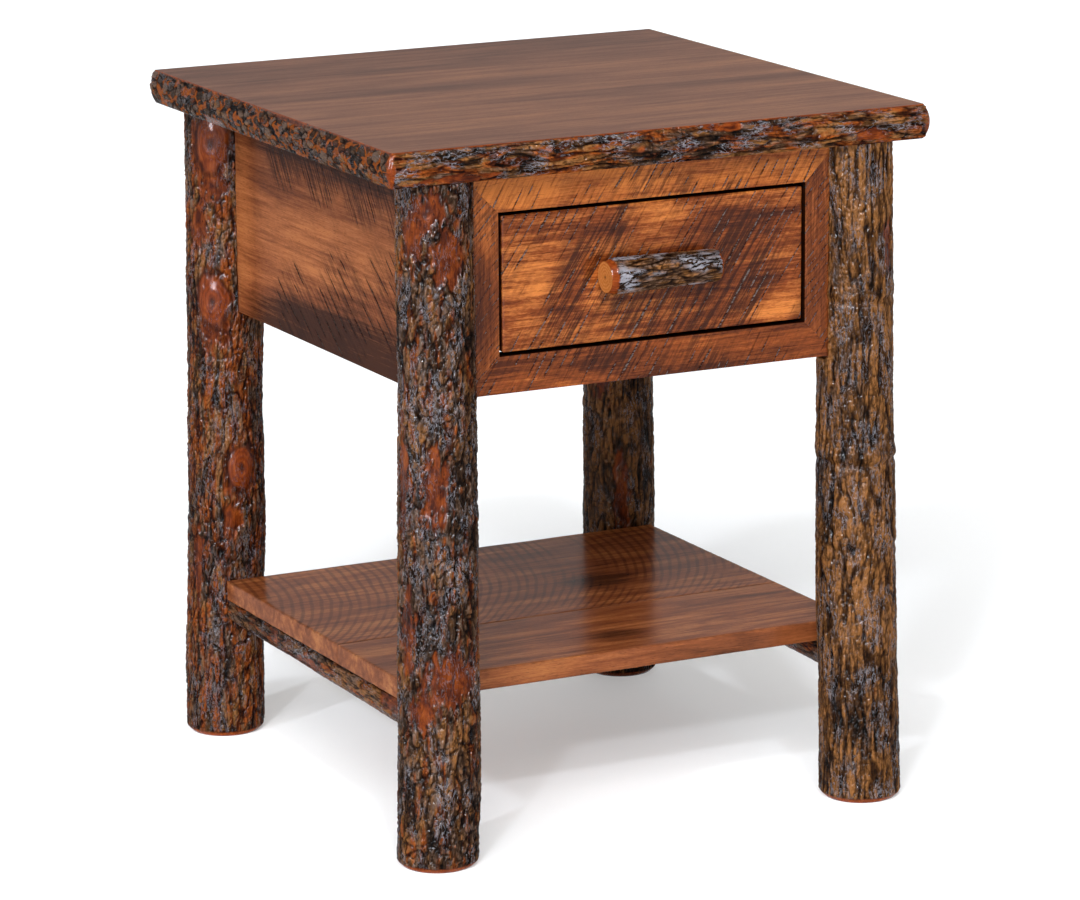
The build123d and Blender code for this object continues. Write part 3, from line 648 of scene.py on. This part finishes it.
def plankPiece(name, look, material):
    low, high = (np.array(corner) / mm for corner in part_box(name))
    axes = [lattice(low[axis], high[axis], look["edge"], look["spacing"]) for axis in range(3)]
    counts = [len(axis) for axis in axes]
    numbers, places, faces = {}, [], []
    for fixed in range(3):
        one, two = (fixed + 1) % 3, (fixed + 2) % 3
        for end in (0, counts[fixed] - 1):
            index = np.zeros((counts[one], counts[two]), int)
            for i in range(counts[one]):
                for j in range(counts[two]):
                    key = [0, 0, 0]
                    key[fixed], key[one], key[two] = end, i, j
                    key = tuple(key)
                    if key not in numbers:
                        numbers[key] = len(places)
                        places.append([axes[axis][key[axis]] for axis in range(3)])
                    index[i, j] = numbers[key]
            corners = [index[:-1, :-1], index[1:, :-1], index[1:, 1:], index[:-1, 1:]]
            corners = np.stack(corners, -1).reshape(-1, 4)
            faces.extend((corners if end else corners[:, ::-1]).tolist())
    points = np.array(places)
    edge = look["edge"]
    core = np.clip(points, low + edge, high - edge)
    away = points - core
    length = np.linalg.norm(away, axis=1)
    outward = away / np.maximum(length, 1e-6)[:, None]
    cell = np.array([5.0, 5.0, 5.0])
    cell[look["grain"]] = 60
    worn = 0.35 * np.abs(waves(points, (18, 18, 18), look["seed"] + 5))
    onEdge = np.abs(outward).max(1) < 0.98
    sawn = look["sawn"] * waves(points, cell, look["seed"])
    points = core + outward * (edge - hairline - np.where(onEdge, worn, 0.0) - np.abs(sawn))[:, None]
    piece = meshPiece("plank_" + name, points, faces, [False] * len(faces), {}, material)
    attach(piece, look["body"])
    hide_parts(name)
    return piece


def shade(code):
    # a colour from its web code
    parts = [int(code[place:place + 2], 16) / 255 for place in (0, 2, 4)]
    return tuple(part / 12.92 if part <= 0.04045 else ((part + 0.055) / 1.055) ** 2.4 for part in parts)


class Wire:
    # a socket that takes part in sums; every operator adds its Math node
    def __init__(self, paint, socket):
        self.paint = paint
        self.socket = socket

    def maths(self, operation, *values):
        return self.paint.node("Math", {"operation": operation}, dict(enumerate(values)))

    def __add__(self, other):
        return self.maths("ADD", self, other)

    __radd__ = __add__

    def __sub__(self, other):
        return self.maths("SUBTRACT", self, other)

    def __rsub__(self, other):
        return self.maths("SUBTRACT", other, self)

    def __mul__(self, other):
        return self.maths("MULTIPLY", self, other)

    __rmul__ = __mul__

    def __truediv__(self, other):
        return self.maths("DIVIDE", self, other)

    def __pow__(self, other):
        return self.maths("POWER", self, other)

    def __abs__(self):
        return self.maths("ABSOLUTE", self)

    def squared(self):
        return self * self

    def sine(self):
        return self.maths("SINE", self)

    def atMost(self, other):
        return self.maths("MINIMUM", self, other)

    def atLeast(self, other):
        return self.maths("MAXIMUM", self, other)

    def eased(self, low, high):
        # 0 at low, 1 at high, smooth between
        settings = {"interpolation_type": "SMOOTHSTEP"}
        return self.paint.node("MapRange", settings, {0: self, 1: low, 2: high, 3: 0.0, 4: 1.0})


class Paint:
    # the nodes that colour a material or the world; places are in mm
    def __init__(self, owner, grain=2):
        self.owner = owner
        self.grain = grain
        owner.use_nodes = True
        self.tree = owner.node_tree
        self.tree.nodes.clear()
        here = self.node("TexCoord", {}, {}, "Object")
        self.place = self.node("VectorMath", {"operation": "SCALE"}, {0: here, 3: 1 / mm})
        self.parts = [self.node("SeparateXYZ", {}, {0: self.place}, axis) for axis in range(3)]

    def node(self, kind, settings, sockets, output=0):
        made = self.tree.nodes.new("ShaderNode" + kind)
        for setting, value in settings.items():
            if setting == "stops":
                ramp = made.color_ramp
                for number, (position, colour) in enumerate(value):
                    stop = ramp.elements[number] if number < 2 else ramp.elements.new(position)
                    stop.position = position
                    stop.color = (*colour, 1)
            else:
                setattr(made, setting, value)
        for socket, value in sockets.items():
            if isinstance(value, Wire):
                self.tree.links.new(value.socket, made.inputs[socket])
            elif isinstance(value, tuple) and len(made.inputs[socket].default_value) == 4:
                made.inputs[socket].default_value = (*value, 1)
            else:
                made.inputs[socket].default_value = value
        return Wire(self, made.outputs[output]) if made.outputs else None

    def attribute(self, name):
        return self.node("Attribute", {"attribute_name": name}, {}, "Fac")

    def noise(self, size, detail=2.0, roughness=0.5, distortion=0.0, where=None):
        # noise from 0 to 1; size in mm is one number, three, or the widths across and along the grain
        size = size if isinstance(size, tuple) else (size, size, size)
        if len(size) == 2:
            size = tuple(size[axis == self.grain] for axis in range(3))
        stretched = self.node("VectorMath", {"operation": "DIVIDE"}, {0: where or self.place, 1: size})
        sockets = {"Vector": stretched, "Scale": 1.0, "Detail": detail, "Roughness": roughness}
        return self.node("TexNoise", {}, {**sockets, "Distortion": distortion}, "Fac")

    def ramp(self, value, *stops):
        stops = [(position, shade(code)) for position, code in stops]
        # the ramp keeps its first two stops, so the last one is given second
        return self.node("ValToRGB", {"stops": [stops[0], stops[-1], *stops[1:-1]]}, {0: value})

    def blend(self, factor, one, two, mode="MIX"):
        # colours are web codes or wires
        one, two = (shade(colour) if isinstance(colour, str) else colour for colour in (one, two))
        return self.node("Mix", {"data_type": "RGBA", "blend_type": mode}, {0: factor, 6: one, 7: two}, 2)

    def tint(self, colour, value):
        # a colour made lighter or darker by a value
        return self.node("VectorMath", {"operation": "SCALE"}, {0: colour, 3: value})

    def seenRays(self):
        # 1 for what the camera, a reflection or a clear body sees, and 0 for light on the object
        kinds = ("Camera", "Glossy", "Transmission")
        camera, glossy, through = (self.node("LightPath", {}, {}, f"Is {kind} Ray") for kind in kinds)
        return camera.atLeast(glossy).atLeast(through)

    def bump(self, height, depth, normal=None):
        # depth in mm for a height from 0 to 1
        sockets = {"Strength": 1.0, "Distance": depth * mm, "Height": height}
        if normal:
            sockets["Normal"] = normal
        return self.node("Bump", {}, sockets)

    def finish(self, colour, roughness, normal=None, **constants):
        sockets = {"Base Color": colour, "Roughness": roughness}
        if normal:
            sockets["Normal"] = normal
        sockets.update({name.replace("_", " "): value for name, value in constants.items()})
        self.node("OutputMaterial", {}, {"Surface": self.node("BsdfPrincipled", {}, sockets)})
        return self.owner


# the gold, rust and ash ramps run from furrow to crest; their near-black low ends are partly the bark's own
# dark furrows and partly painted shade in them
barkColours = {
    "gold": ((0.14, "0a0603"), (0.4, "2e1a0b"), (0.68, "54351a"), (1.0, "946236")),
    "rust": ((0.16, "0a0402"), (0.42, "321307"), (0.68, "5c2a0e"), (1.0, "984c1c")),
    "ash": ((0.1, "080504"), (0.38, "26180f"), (0.68, "443022"), (1.0, "7a6050")),
    "peel": ((0.0, "240d07"), (0.35, "51200c"), (0.6, "7d3712"), (1.0, "a85722")),
    "knot": ((0.0, "4a1a08"), (0.5, "8a3a12"), (1.0, "ba6228")),
    "rubbed": ((0.0, "4c1d07"), (0.5, "7c3511"), (1.0, "ad561e")),
    "endGrain": ((0.0, "7c4218"), (0.5, "b06a32"), (1.0, "d69a5a")),
    # a3a4ae is the light blue-grey of the painted highlight on the varnish
    "chip": "b05a20", "paintedGleam": "a3a4ae", "pith": "2c1712", "speck": "1c0c08", "knotRim": "1c0d08",
}

# how much of a log is golden and how much rusty, from 0 to 1, how light it is, and how strong the painted
# highlight on its varnish is; broad is for a painted sheen that lies on whole ridges
barkMixes = {
    "gold": {"golden": 0.72, "rusty": 0.22, "light": 0.82, "paintedGleam": 0.34},
    "rust": {"golden": 0.5, "rusty": 0.5, "light": 0.7, "paintedGleam": 0.26},
    "ash": {"golden": 0.46, "rusty": 0.42, "light": 0.72, "paintedGleam": 0.42},
    # this mix paints a whole log darker: painted shade
    "paintedShade": {"golden": 0.8, "rusty": 0.3, "light": 0.48, "paintedGleam": 0.2},
    "striped": {"golden": 0.56, "rusty": 0.46, "light": 0.95, "paintedGleam": 0.5},
    "plated": {"golden": 0.42, "rusty": 0.36, "light": 0.62, "paintedGleam": 0.2},
    # the pull gets a strong painted highlight and a painted sheen over whole ridges
    "silver": {"golden": 0.55, "rusty": 0.2, "light": 1.1, "paintedGleam": 0.9, "broad": 0.9},
}


def barkMaterial(mixName, grain):
    mix = barkMixes[mixName]
    paint = Paint(bpy.data.materials.new(f"hickory_bark_{mixName}_{'xyz'[grain]}"), grain)
    crest, peel, knot, bare, ring, chip = (paint.attribute(mark) for mark in barkMarks)
    fibre = paint.noise((1.1, 9), 3, 0.6)
    grit = paint.noise(1.3, 3, 0.65)
    bead = paint.noise((2.5, 4.6), 1, 0.5)
    patchy = paint.noise((15, 44), 2)
    golden = paint.noise((7, 24), 3)
    elsewhere = paint.node("VectorMath", {"operation": "ADD"}, {0: paint.place, 1: (91, 37, 53)})
    rusty = paint.noise((6, 30), 2, where=elsewhere)
    mood = paint.noise((50, 95), 2)
    height = crest + (fibre - 0.5) * 0.6 + (bead - 0.5) * 0.4 + (patchy - 0.5) * 0.2 + (mood - 0.5) * 0.7
    colour = paint.ramp(height, *barkColours["ash"])
    goldShare = (golden + (patchy - 0.5) * 0.4 + (mood - 0.5) * 0.7 + mix["golden"] - 1.0).eased(-0.12, 0.12)
    colour = paint.blend(goldShare, colour, paint.ramp(height, *barkColours["gold"]))
    rustShare = (rusty + mix["rusty"] - 1.0).eased(-0.08, 0.08)
    colour = paint.blend(rustShare, colour, paint.ramp(height, *barkColours["rust"]))
    colour = paint.blend((chip * (fibre + 0.5)).eased(0.45, 0.85) * 0.8, colour, barkColours["chip"])

    strands = paint.noise((1.8, 20), 4, 0.6, 0.8)
    stains = paint.noise((7, 13), 3, 0.6, 0.5)
    tone = (strands - 0.5) * 0.7 + (stains - 0.5) * 1.5 + (patchy - 0.5) * 0.7 + 0.5
    peeled = paint.ramp(tone, *barkColours["peel"])
    peeled = paint.blend(paint.noise((2.4, 6), 2).eased(0.62, 0.72) * 0.8, peeled, barkColours["speck"])
    colour = paint.blend(peel, colour, peeled)
    rings = (knot * 22 + (golden - 0.5) * 12 + (grit - 0.5) * 1.5).sine() * 0.5 + 0.5
    tone = rings * 0.25 + (golden - 0.5) * 0.8 + (strands - 0.5) * 0.5 + 0.35
    knotColour = paint.ramp(tone, *barkColours["knot"])
    knotColour = paint.blend(knot.eased(0.3, 0.08) * 0.85, knotColour, barkColours["pith"])
    inKnot = knot.eased(1.2, 0.8)
    colour = paint.blend(inKnot * 0.8, colour, knotColour)
    knotRim = knot.eased(1.45, 1.2) * knot.eased(0.95, 1.15)
    colour = paint.blend(knotRim * 0.5, colour, barkColours["knotRim"])

    # bare wood: end grain where ring runs from 1 to 0, long grain where it is 1 or more
    years = (ring * 30 + (golden - 0.5) * 5).sine() * 0.5 + 0.5
    sawnEnd = paint.ramp(years * 0.22 + grit * 0.7, *barkColours["endGrain"])
    sawnEnd = paint.blend(ring.eased(0.16, 0.03) * 0.8, sawnEnd, barkColours["pith"])
    longGrain = paint.ramp((strands - 0.5) * 1.4 + (golden - 0.5) * 0.7 + 0.5, *barkColours["rubbed"])
    wood = paint.blend(ring.eased(0.985, 0.999), sawnEnd, longGrain)
    colour = paint.blend(bare, paint.tint(colour, mix["light"]), wood)

    # thin wavy lines of thick varnish, raised by a bump further down, and a painted highlight: the lines, the
    # edges of the ridges and, for a mix with a broad share, whole ridges get a light blue-grey in the base
    # colour
    smooth = (peel + inKnot).atMost(1.0)
    dripsAndGlints = abs(paint.noise((4.6, 13), 3, 0.55, 0.9) - 0.5).eased(0.035, 0.008)
    rim = crest.eased(0.5, 0.62) * crest.eased(0.78, 0.66) * bead.eased(0.48, 0.6)
    dripAndGlintZones = paint.noise((17, 34), 2).eased(0.46, 0.62) * (1 - bare)
    broad = crest.eased(0.5, 0.75) * mix.get("broad", 0.0)
    paintedGleam = (dripsAndGlints * (1 - smooth * 0.6) + rim * (1 - smooth) + broad).atMost(1.0) * dripAndGlintZones
    colour = paint.blend(paintedGleam * mix["paintedGleam"], colour, barkColours["paintedGleam"])
    rough = 0.17 + (grit - 0.5) * 0.1
    varnish = (peel * 0.4 + inKnot * 0.7).atMost(0.8) * (1 - bare) + bare * 0.5
    fine = paint.bump(dripsAndGlints * dripAndGlintZones * (1 - bare), 0.7)
    fine = paint.bump(bead * (1 - smooth * 0.75) * (1 - bare * 0.85), 2.4, fine)
    fine = paint.bump((fibre * 0.6 + grit * 0.4) * (1 - smooth * 0.6) * (1 - bare * 0.7), 0.25, fine)
    fine = paint.bump(strands * (smooth + bare * 0.5), 0.3, fine)
    constants = {"Coat_Roughness": 0.16, "Coat_IOR": 1.16, "Specular_IOR_Level": 0.02}
    return paint.finish(colour, rough, fine, Coat_Weight=varnish.atMost(1.0), **constants)


# board stains, and painted light: a grey painted glint for the grooves, near-black painted shade for the drawer
# gap
boardStainsAndPaintedLight = {
    "stripe": "260f06", "groove": "1f110d", "paintedShine": "8c817c", "arc": "2a140a", "pore": "2a150b",
    "gap": "140a05",
}

# u runs along the grain, v across it on the face that shows. A spot is (u, v, half long, half wide, strength).
# A cut is a set of saw marks, and its zones are (beside, onward, half beside, half onward, strength) from its
# start; a cut also gives the strength of a painted glint in its grooves. An axis with two places on it says
# where the painted shade on the faces inside the gap round the drawer begins and is full.
boards = {
    "top": {
        "grain": 0, "across": 1, "tones": ("583423", "7a4d36", "966342"), "streak": (320, 20), "rough": 0.42,
        "figure": 0.8, "flecks": 0.25, "varnish": 0.2,
        "spots": [
            (0, 270, 600, 170, -0.22), (-120, 40, 240, 22, -0.2), (140, -60, 200, 18, -0.18),
            (-60, -170, 260, 26, 0.12),
        ],
    },
    "shelf": {
        "grain": 0, "across": 1, "tones": ("44220f", "844827", "b87540"), "streak": (200, 12), "rough": 0.42,
        "figure": 0.8, "flecks": 0.25, "varnish": 0.25,
        "spots": [(87, 30, 40, 26, -0.3), (16, -158, 34, 18, -0.3)],
        # the marks of a round saw, which turn straight and slanting in front of the seam
        "arcs": {"centreY": 225.0, "radius": 400.0, "spacing": 10.0, "seam": -58.8, "slant": 1.6, "top": 160.5},
    },
    "front": {
        "grain": 0, "across": 2, "tones": ("3f1808", "7a3915", "c87636"), "streak": (150, 8), "rough": 0.4,
        "figure": 1.0, "flecks": 0.55, "varnish": 0.25, "paintedShade": (1, -244.7, -243.4),
        "spots": [
            (-128, 520, 34, 40, 0.2), (0, 577, 42, 14, 0.26), (128, 478, 34, 13, 0.32),
            (-140, 560, 20, 20, 0.1),
            (-92, 512, 26, 16, -0.25), (90, 550, 60, 24, -0.12),
        ],
        "cuts": [{
            "angle": 57, "start": (0, 528.5), "width": 4.6, "length": 90, "spacing": 8.5, "base": 0.4,
            "paintedShine": 0.5,
            "zones": [
                (-56, -42, 27, 62, 0.9), (-70, 22, 16, 40, 0.5), (23, 38, 10, 50, 0.9), (70, 30, 46, 80, 0.75),
                (12, -38, 38, 30, 0.7), (-105, -80, 20, 50, -0.35), (-22, 38, 20, 26, -0.25),
                (134, 28, 16, 36, -0.4),
            ],
        }],
    },
    "rail": {
        "grain": 0, "across": 2, "tones": ("4c200b", "864119", "c06e2e"), "streak": (140, 7), "rough": 0.4,
        "figure": 0.9, "flecks": 0.5, "varnish": 0.25, "paintedShade": (1, -245.9, -245.0),
        "spots": [(-150, 611, 60, 10, 0.3), (0, 611, 400, 34, 0.3), (0, 446, 400, 34, -0.2)],
        "cuts": [{
            "angle": 58, "start": (0, 528.5), "width": 4.2, "length": 60, "spacing": 8.5, "base": 0.36,
            "paintedShine": 0.45,
            "zones": [
                (-15, -80, 60, 30, 0.6), (90, -60, 50, 30, 0.4), (-40, 75, 40, 30, 0.35), (38, 80, 24, 30, 0.6),
            ],
        }],
    },
    "stile": {
        "grain": 2, "across": 0, "tones": ("431c0a", "743816", "a45a27"), "streak": (110, 6), "rough": 0.4,
        "figure": 0.9, "flecks": 0.5, "varnish": 0.25, "paintedShade": (1, -245.9, -245.0),
        "spots": [(600, -174, 40, 18, 0.3), (510, -174, 46, 18, -0.3)],
        "cuts": [{
            "angle": 42, "start": (528.5, 0), "width": 2.6, "length": 26, "spacing": 6.0, "base": 0.5,
            "paintedShine": 0.4, "zones": [],
        }],
    },
    "side": {
        "grain": 1, "across": 2, "tones": ("3c1d0e", "7e4527", "b26c3e"), "streak": (230, 7), "rough": 0.42,
        "figure": 0.6, "flecks": 0.25, "varnish": 0.12,
        "spots": [
            (0, 628, 500, 34, -0.5), (-60, 440, 260, 34, -0.5), (196, 530, 34, 120, 0.2),
            (40, 520, 150, 40, 0.2),
            (-120, 540, 70, 30, 0.1),
        ],
        "cuts": [
            {
                "angle": 57, "start": (0, 628), "width": 2.8, "length": 70, "spacing": 8.5, "base": 0.0,
                "paintedShine": 0.15, "zones": [
                    (80, 26, 44, 40, 1.0), (10, -14, 48, 46, 1.1), (-62, -62, 48, 50, 1.2),
                    (-130, -108, 44, 56, 1.2),
                ],
            },
            {
                "angle": 38, "start": (0, 470), "width": 4.0, "length": 70, "spacing": 12.0, "base": 0.0,
                "paintedShine": 0.1,
                "zones": [(-30, -30, 60, 60, 0.6), (50, 30, 50, 60, 0.7), (-110, -90, 50, 50, 0.5)],
            },
        ],
    },
}


def sawMarks(paint, u, v, cut):
    # two masks: soft dark stripes, and narrow grooves that hold the dark stain
    angle = math.radians(cut["angle"])
    far, tall = u - cut["start"][0], v - cut["start"][1]
    beside = far * math.sin(angle) - tall * math.cos(angle)
    onward = far * math.cos(angle) + tall * math.sin(angle)
    zone = (paint.noise(34.0, 2) - 0.5) * 0.9 + cut["base"]
    for middle, along, halfBeside, halfOnward, strength in cut["zones"]:
        away = ((beside - middle) / halfBeside).squared() + ((onward - along) / halfOnward).squared()
        zone = zone + away.eased(1.5, 0.3) * strength
    zone = zone.atLeast(0.0).atMost(1.0)
    here = paint.node("CombineXYZ", {}, {0: beside, 1: onward, 2: cut["angle"] * 3.0})
    stripes = paint.noise((cut["width"], cut["length"], 1.0), 5, 0.72, where=here).eased(0.42, 0.58)
    wander = paint.noise((cut["spacing"] * 4, cut["length"] * 2, 1.0), 1, where=here)
    ragged = paint.noise((1.3, 3.5, 1.0), 2, where=here)
    lines = ((beside / cut["spacing"] + wander * 1.6) * (2 * math.pi)).sine() + (ragged - 0.5) * 0.5
    broken = paint.noise((cut["spacing"] * 0.9, cut["length"] * 0.6, 1.0), 2, where=here).eased(0.46, 0.54)
    grooves = lines.eased(0.78, 0.95) * broken * zone.eased(0.15, 0.45)
    return stripes * zone, grooves


def boardMaterial(name, look):
    paint = Paint(bpy.data.materials.new("stained_" + name), look["grain"])
    u, v = paint.parts[look["grain"]], paint.parts[look["across"]]
    long, wide = look["streak"]
    broad = paint.noise((wide * 2.2, long), 2, 0.5, 0.4)
    streaks = paint.noise((wide * 0.55, long * 0.6), 3, 0.6, 0.5)
    fibres = paint.noise((0.9, 30), 3, 0.65, 0.3)
    blotches = paint.noise((30, 120), 2)
    # annual rings that show as lines along the grain
    lines = (paint.noise((wide * 3, long * 1.3), 1, 0.4, 0.2) * 44).sine() * 0.5 + 0.5
    tone = (broad - 0.5) + (streaks - 0.5) * 0.8 + (blotches - 0.5) * 0.4 - (lines.squared() - 0.35) * 0.14
    flecks = paint.noise((1.7, 5.5), 3, 0.6, 0.6)
    tone = tone * look["figure"] + (fibres - 0.5) * 0.6 + (flecks - 0.5) * look["flecks"] + 0.5
    for alongGrain, acrossGrain, halfLong, halfWide, strength in look["spots"]:
        away = ((u - alongGrain) / halfLong).squared() + ((v - acrossGrain) / halfWide).squared()
        tone = tone + away.eased(1.6, 0.0) * strength
    dark, middle, light = look["tones"]
    colour = paint.ramp(tone, (0.12, dark), (0.5, middle), (0.88, light))
    height = fibres * 0.35 + streaks * 0.3 + flecks * 0.3
    varnish = look["varnish"]
    for cut in look.get("cuts", ()):
        stripes, grooves = sawMarks(paint, u, v, cut)
        colour = paint.blend(stripes * 0.85, colour, boardStainsAndPaintedLight["stripe"])
        colour = paint.blend(grooves * 0.9, colour, boardStainsAndPaintedLight["groove"])
        # a painted glint: light grey in the middle of the grooves, where the varnish would catch light
        paintedShine = grooves.eased(0.6, 0.95) * flecks.eased(0.44, 0.58) * cut["paintedShine"]
        colour = paint.blend(paintedShine, colour, boardStainsAndPaintedLight["paintedShine"])
        height = height - grooves * 1.4 - stripes * 0.3
        varnish = varnish - grooves * look["varnish"]
    if "arcs" in look:
        arc = look["arcs"]
        square = arc["radius"] ** 2
        bend = u - (square - (v - arc["centreY"]).squared().atMost(square * 0.99)) ** 0.5
        inFront = v.eased(arc["seam"] + 1, arc["seam"])
        bend = bend + inFront * (v * arc["slant"] - (bend - u))
        turns = bend / arc["spacing"] + paint.noise((110, 50), 2) * 0.9
        teeth = (turns * (2 * math.pi)).sine() * 0.5 + 0.5
        marks = teeth.eased(0.45, 0.95) * paint.noise((150, 80), 3).eased(0.32, 0.52)
        marks = marks * paint.parts[2].eased(arc["top"] - 1, arc["top"])
        colour = paint.blend(marks * (0.42 - inFront * 0.22), colour, boardStainsAndPaintedLight["arc"])
        height = height - marks * 0.5
    pores = paint.noise((0.7, 8), 2).eased(0.62, 0.7)
    colour = paint.blend(pores * 0.5, colour, boardStainsAndPaintedLight["pore"])
    # painted shade: faces that lie deeper, inside the gap round the drawer, turn near-black and lose their
    # varnish
    if "paintedShade" in look:
        axis, near, far = look["paintedShade"]
        inward = paint.parts[axis].eased(near, far)
        colour = paint.blend(inward * 0.92, colour, boardStainsAndPaintedLight["gap"])
        varnish = varnish * (1 - inward)
        height = height * (1 - inward)
    rough = look["rough"] + (fibres - 0.5) * 0.2 + (blotches - 0.5) * 0.16
    normal = paint.bump(height - pores * 0.3, 0.35)
    constants = {"Coat_Roughness": 0.2, "Specular_IOR_Level": 0.0}
    return paint.finish(colour, rough, normal, Coat_Weight=varnish, **constants)


plainWoods = {
    "drawer_box_wood": {"tones": ("a8794c", "c69a68", "dab688"), "rough": 0.5},
    "inner_board_wood": {"tones": ("4c2d1a", "6c452b", "86593a"), "rough": 0.55},
}


def plainWood(name, grain):
    look = plainWoods[name]
    paint = Paint(bpy.data.materials.new(f"{name}_{'xyz'[grain]}"), grain)
    streaks = paint.noise((9, 150), 3, 0.6, 0.5)
    fibres = paint.noise((0.9, 26), 3, 0.6)
    lines = (paint.noise((30, 300), 1, 0.4, 0.2) * 50).sine() * 0.5 + 0.5
    tone = 0.5 + (streaks - 0.5) * 0.9 + (fibres - 0.5) * 0.5 - (lines - 0.5) * 0.18
    dark, middle, light = look["tones"]
    colour = paint.ramp(tone, (0.15, dark), (0.5, middle), (0.85, light))
    normal = paint.bump(fibres * 0.6 + streaks * 0.4, 0.25)
    return paint.finish(colour, look["rough"] + (fibres - 0.5) * 0.2, normal, Specular_IOR_Level=0.3)


steels = {
    "slide_zinc": {"tones": ("9ea2a8", "c8cbce"), "rough": 0.32},
    "screw_zinc": {"tones": ("8f8b7c", "bdb9a8"), "rough": 0.38},
}


def steelMaterial(name):
    look = steels[name]
    paint = Paint(bpy.data.materials.new(name), 1)
    brushed = paint.noise((0.8, 30.0), 2)
    cloudy = paint.noise(14.0, 2)
    dark, light = look["tones"]
    colour = paint.ramp(0.5 + (cloudy - 0.5) * 1.2 + (brushed - 0.5) * 0.5, (0.1, dark), (0.9, light))
    return paint.finish(colour, look["rough"] + (brushed - 0.5) * 0.12, paint.bump(brushed, 0.04), Metallic=1.0)


def dress(nodes, material):
    for name in nodes:
        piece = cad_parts[name]
        piece.data.materials.clear()
        piece.data.materials.append(material)


print("materials")
stained = {name: boardMaterial(name, look) for name, look in boards.items()}
barks = {}
for look in [*legs.values(), *sticks.values(), *strips.values()]:
    key = look["colour"], look.get("grain", 2)
    if key not in barks:
        barks[key] = barkMaterial(*key)
boxWood = [plainWood("drawer_box_wood", axis) for axis in range(2)]
innerWood = [plainWood("inner_board_wood", axis) for axis in range(2)]
sides = ("_left", "_right")
slideParts = [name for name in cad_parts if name.startswith("slide_") and name.endswith(sides)]

dress([f"top_board_{number}" for number in range(1, 5)], stained["top"])
dress(["case_side_left", "case_side_right"], stained["side"])
dress(["frame_rail_bottom", "frame_rail_top"], stained["rail"])
dress(["frame_stile_left", "frame_stile_right"], stained["stile"])
dress(["case_back", "top_cleat_front", "top_cleat_rear"], innerWood[0])
dress(["slide_block_left", "slide_block_right"], innerWood[1])
dress(["box_front", "box_back"], boxWood[0])
dress(["box_side_left", "box_side_right", "box_floor"], boxWood[1])
dress([name for name in slideParts if "block" not in name], steelMaterial("slide_zinc"))
dress([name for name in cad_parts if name.endswith("screws")], steelMaterial("screw_zinc"))

print("logs")
for name, look in legs.items():
    legPiece(name, look, barks[look["colour"], 2])
for name, look in sticks.items():
    stickPiece(name, look, barks[look["colour"], look["grain"]])
print("strips and planks")
for name, look in strips.items():
    stripPiece(name, look, barks[look["colour"], look["grain"]], stained["top"])
for name, look in planks.items():
    plankPiece(name, look, stained["front" if name == "drawer_front" else "shelf"])

# A lamp is (azimuth, elevation, angle across, strength); azimuth 0 is in front of the table.
studio = {
    "floor": "cececd", "floorRough": 0.9, "floorReach": 30, "floorLift": 0.32,
    "worldLight": 0.19,
    "suns": [(-36, 38, 30, 2.15), (-20, 50, 50, 1.0), (150, 35, 60, 0.5)],
    "matt": 2,  # the sun behind the table, which doesn't show as gloss
    # these show only as gloss
    "sparkles": [(-64, 33, 3, 32.0), (-40, 26, 3, 28.0), (-18, 42, 3, 28.0), (-52, 12, 24, 15.0)],
    "sparkleColour": (0.86, 0.92, 1.0),
}
view = {
    "azimuth": -26.8795, "elevation": 13.4542, "roll": -0.3902, "distance": 4.6313,
    "target": (0.0077, 0.0, 0.3075), "lens": 161.17, "sensor": 36, "farClip": 100,
}


def towards(azimuth, elevation):
    a, e = math.radians(azimuth), math.radians(elevation)
    return Vector((math.sin(a) * math.cos(e), -math.cos(a) * math.cos(e), math.sin(e)))


print("studio")
scene = bpy.context.scene
reach = studio["floorReach"]
floorMesh = bpy.data.meshes.new("studio_floor")
corners = [(-reach, -reach, 0), (reach, -reach, 0), (reach, reach, 0), (-reach, reach, 0)]
floorMesh.from_pydata(corners, [], [(0, 1, 2, 3)])
floor = bpy.data.objects.new("studio_floor", floorMesh)
scene.collection.objects.link(floor)
floorPaint = Paint(bpy.data.materials.new("studio_floor"))
lift = {"Emission_Color": (1.0, 1.0, 1.0), "Emission_Strength": floorPaint.seenRays() * studio["floorLift"]}
floorMesh.materials.append(floorPaint.finish(shade(studio["floor"]), studio["floorRough"], **lift))

world = bpy.data.worlds.new("studio")
scene.world = world
sky = Paint(world)
power = sky.seenRays() * (1 - studio["worldLight"]) + studio["worldLight"]
background = sky.node("Background", {}, {"Color": (1.0, 1.0, 1.0), "Strength": power})
sky.node("OutputWorld", {}, {"Surface": background})

for number, (azimuth, elevation, angle, power) in enumerate(studio["suns"] + studio["sparkles"]):
    lamp = bpy.data.lights.new(f"sun_{number}", "SUN")
    lamp.angle = math.radians(angle)
    lamp.energy = power
    holder = bpy.data.objects.new(lamp.name, lamp)
    holder.visible_glossy = number != studio["matt"]
    if number >= len(studio["suns"]):
        lamp.color = studio["sparkleColour"]
        holder.visible_diffuse = False
    holder.rotation_euler = towards(azimuth, elevation).to_track_quat("Z", "Y").to_euler()
    scene.collection.objects.link(holder)

lens = bpy.data.cameras.new("camera")
lens.lens = view["lens"]
lens.sensor_width = view["sensor"]
lens.sensor_fit = "HORIZONTAL"
lens.clip_end = view["farClip"]
camera = bpy.data.objects.new("camera", lens)
back = towards(view["azimuth"], view["elevation"])
right = Vector((0, 0, 1)).cross(back).normalized()
up = back.cross(right)
roll = math.radians(view["roll"])
rolledRight = right * math.cos(roll) + up * math.sin(roll)
rolledUp = up * math.cos(roll) - right * math.sin(roll)
facing = Matrix((rolledRight, rolledUp, back)).transposed().to_4x4()
camera.matrix_world = Matrix.Translation(Vector(view["target"]) + back * view["distance"]) @ facing
scene.collection.objects.link(camera)
scene.camera = camera
scene.view_settings.view_transform = "Standard"

print("done")
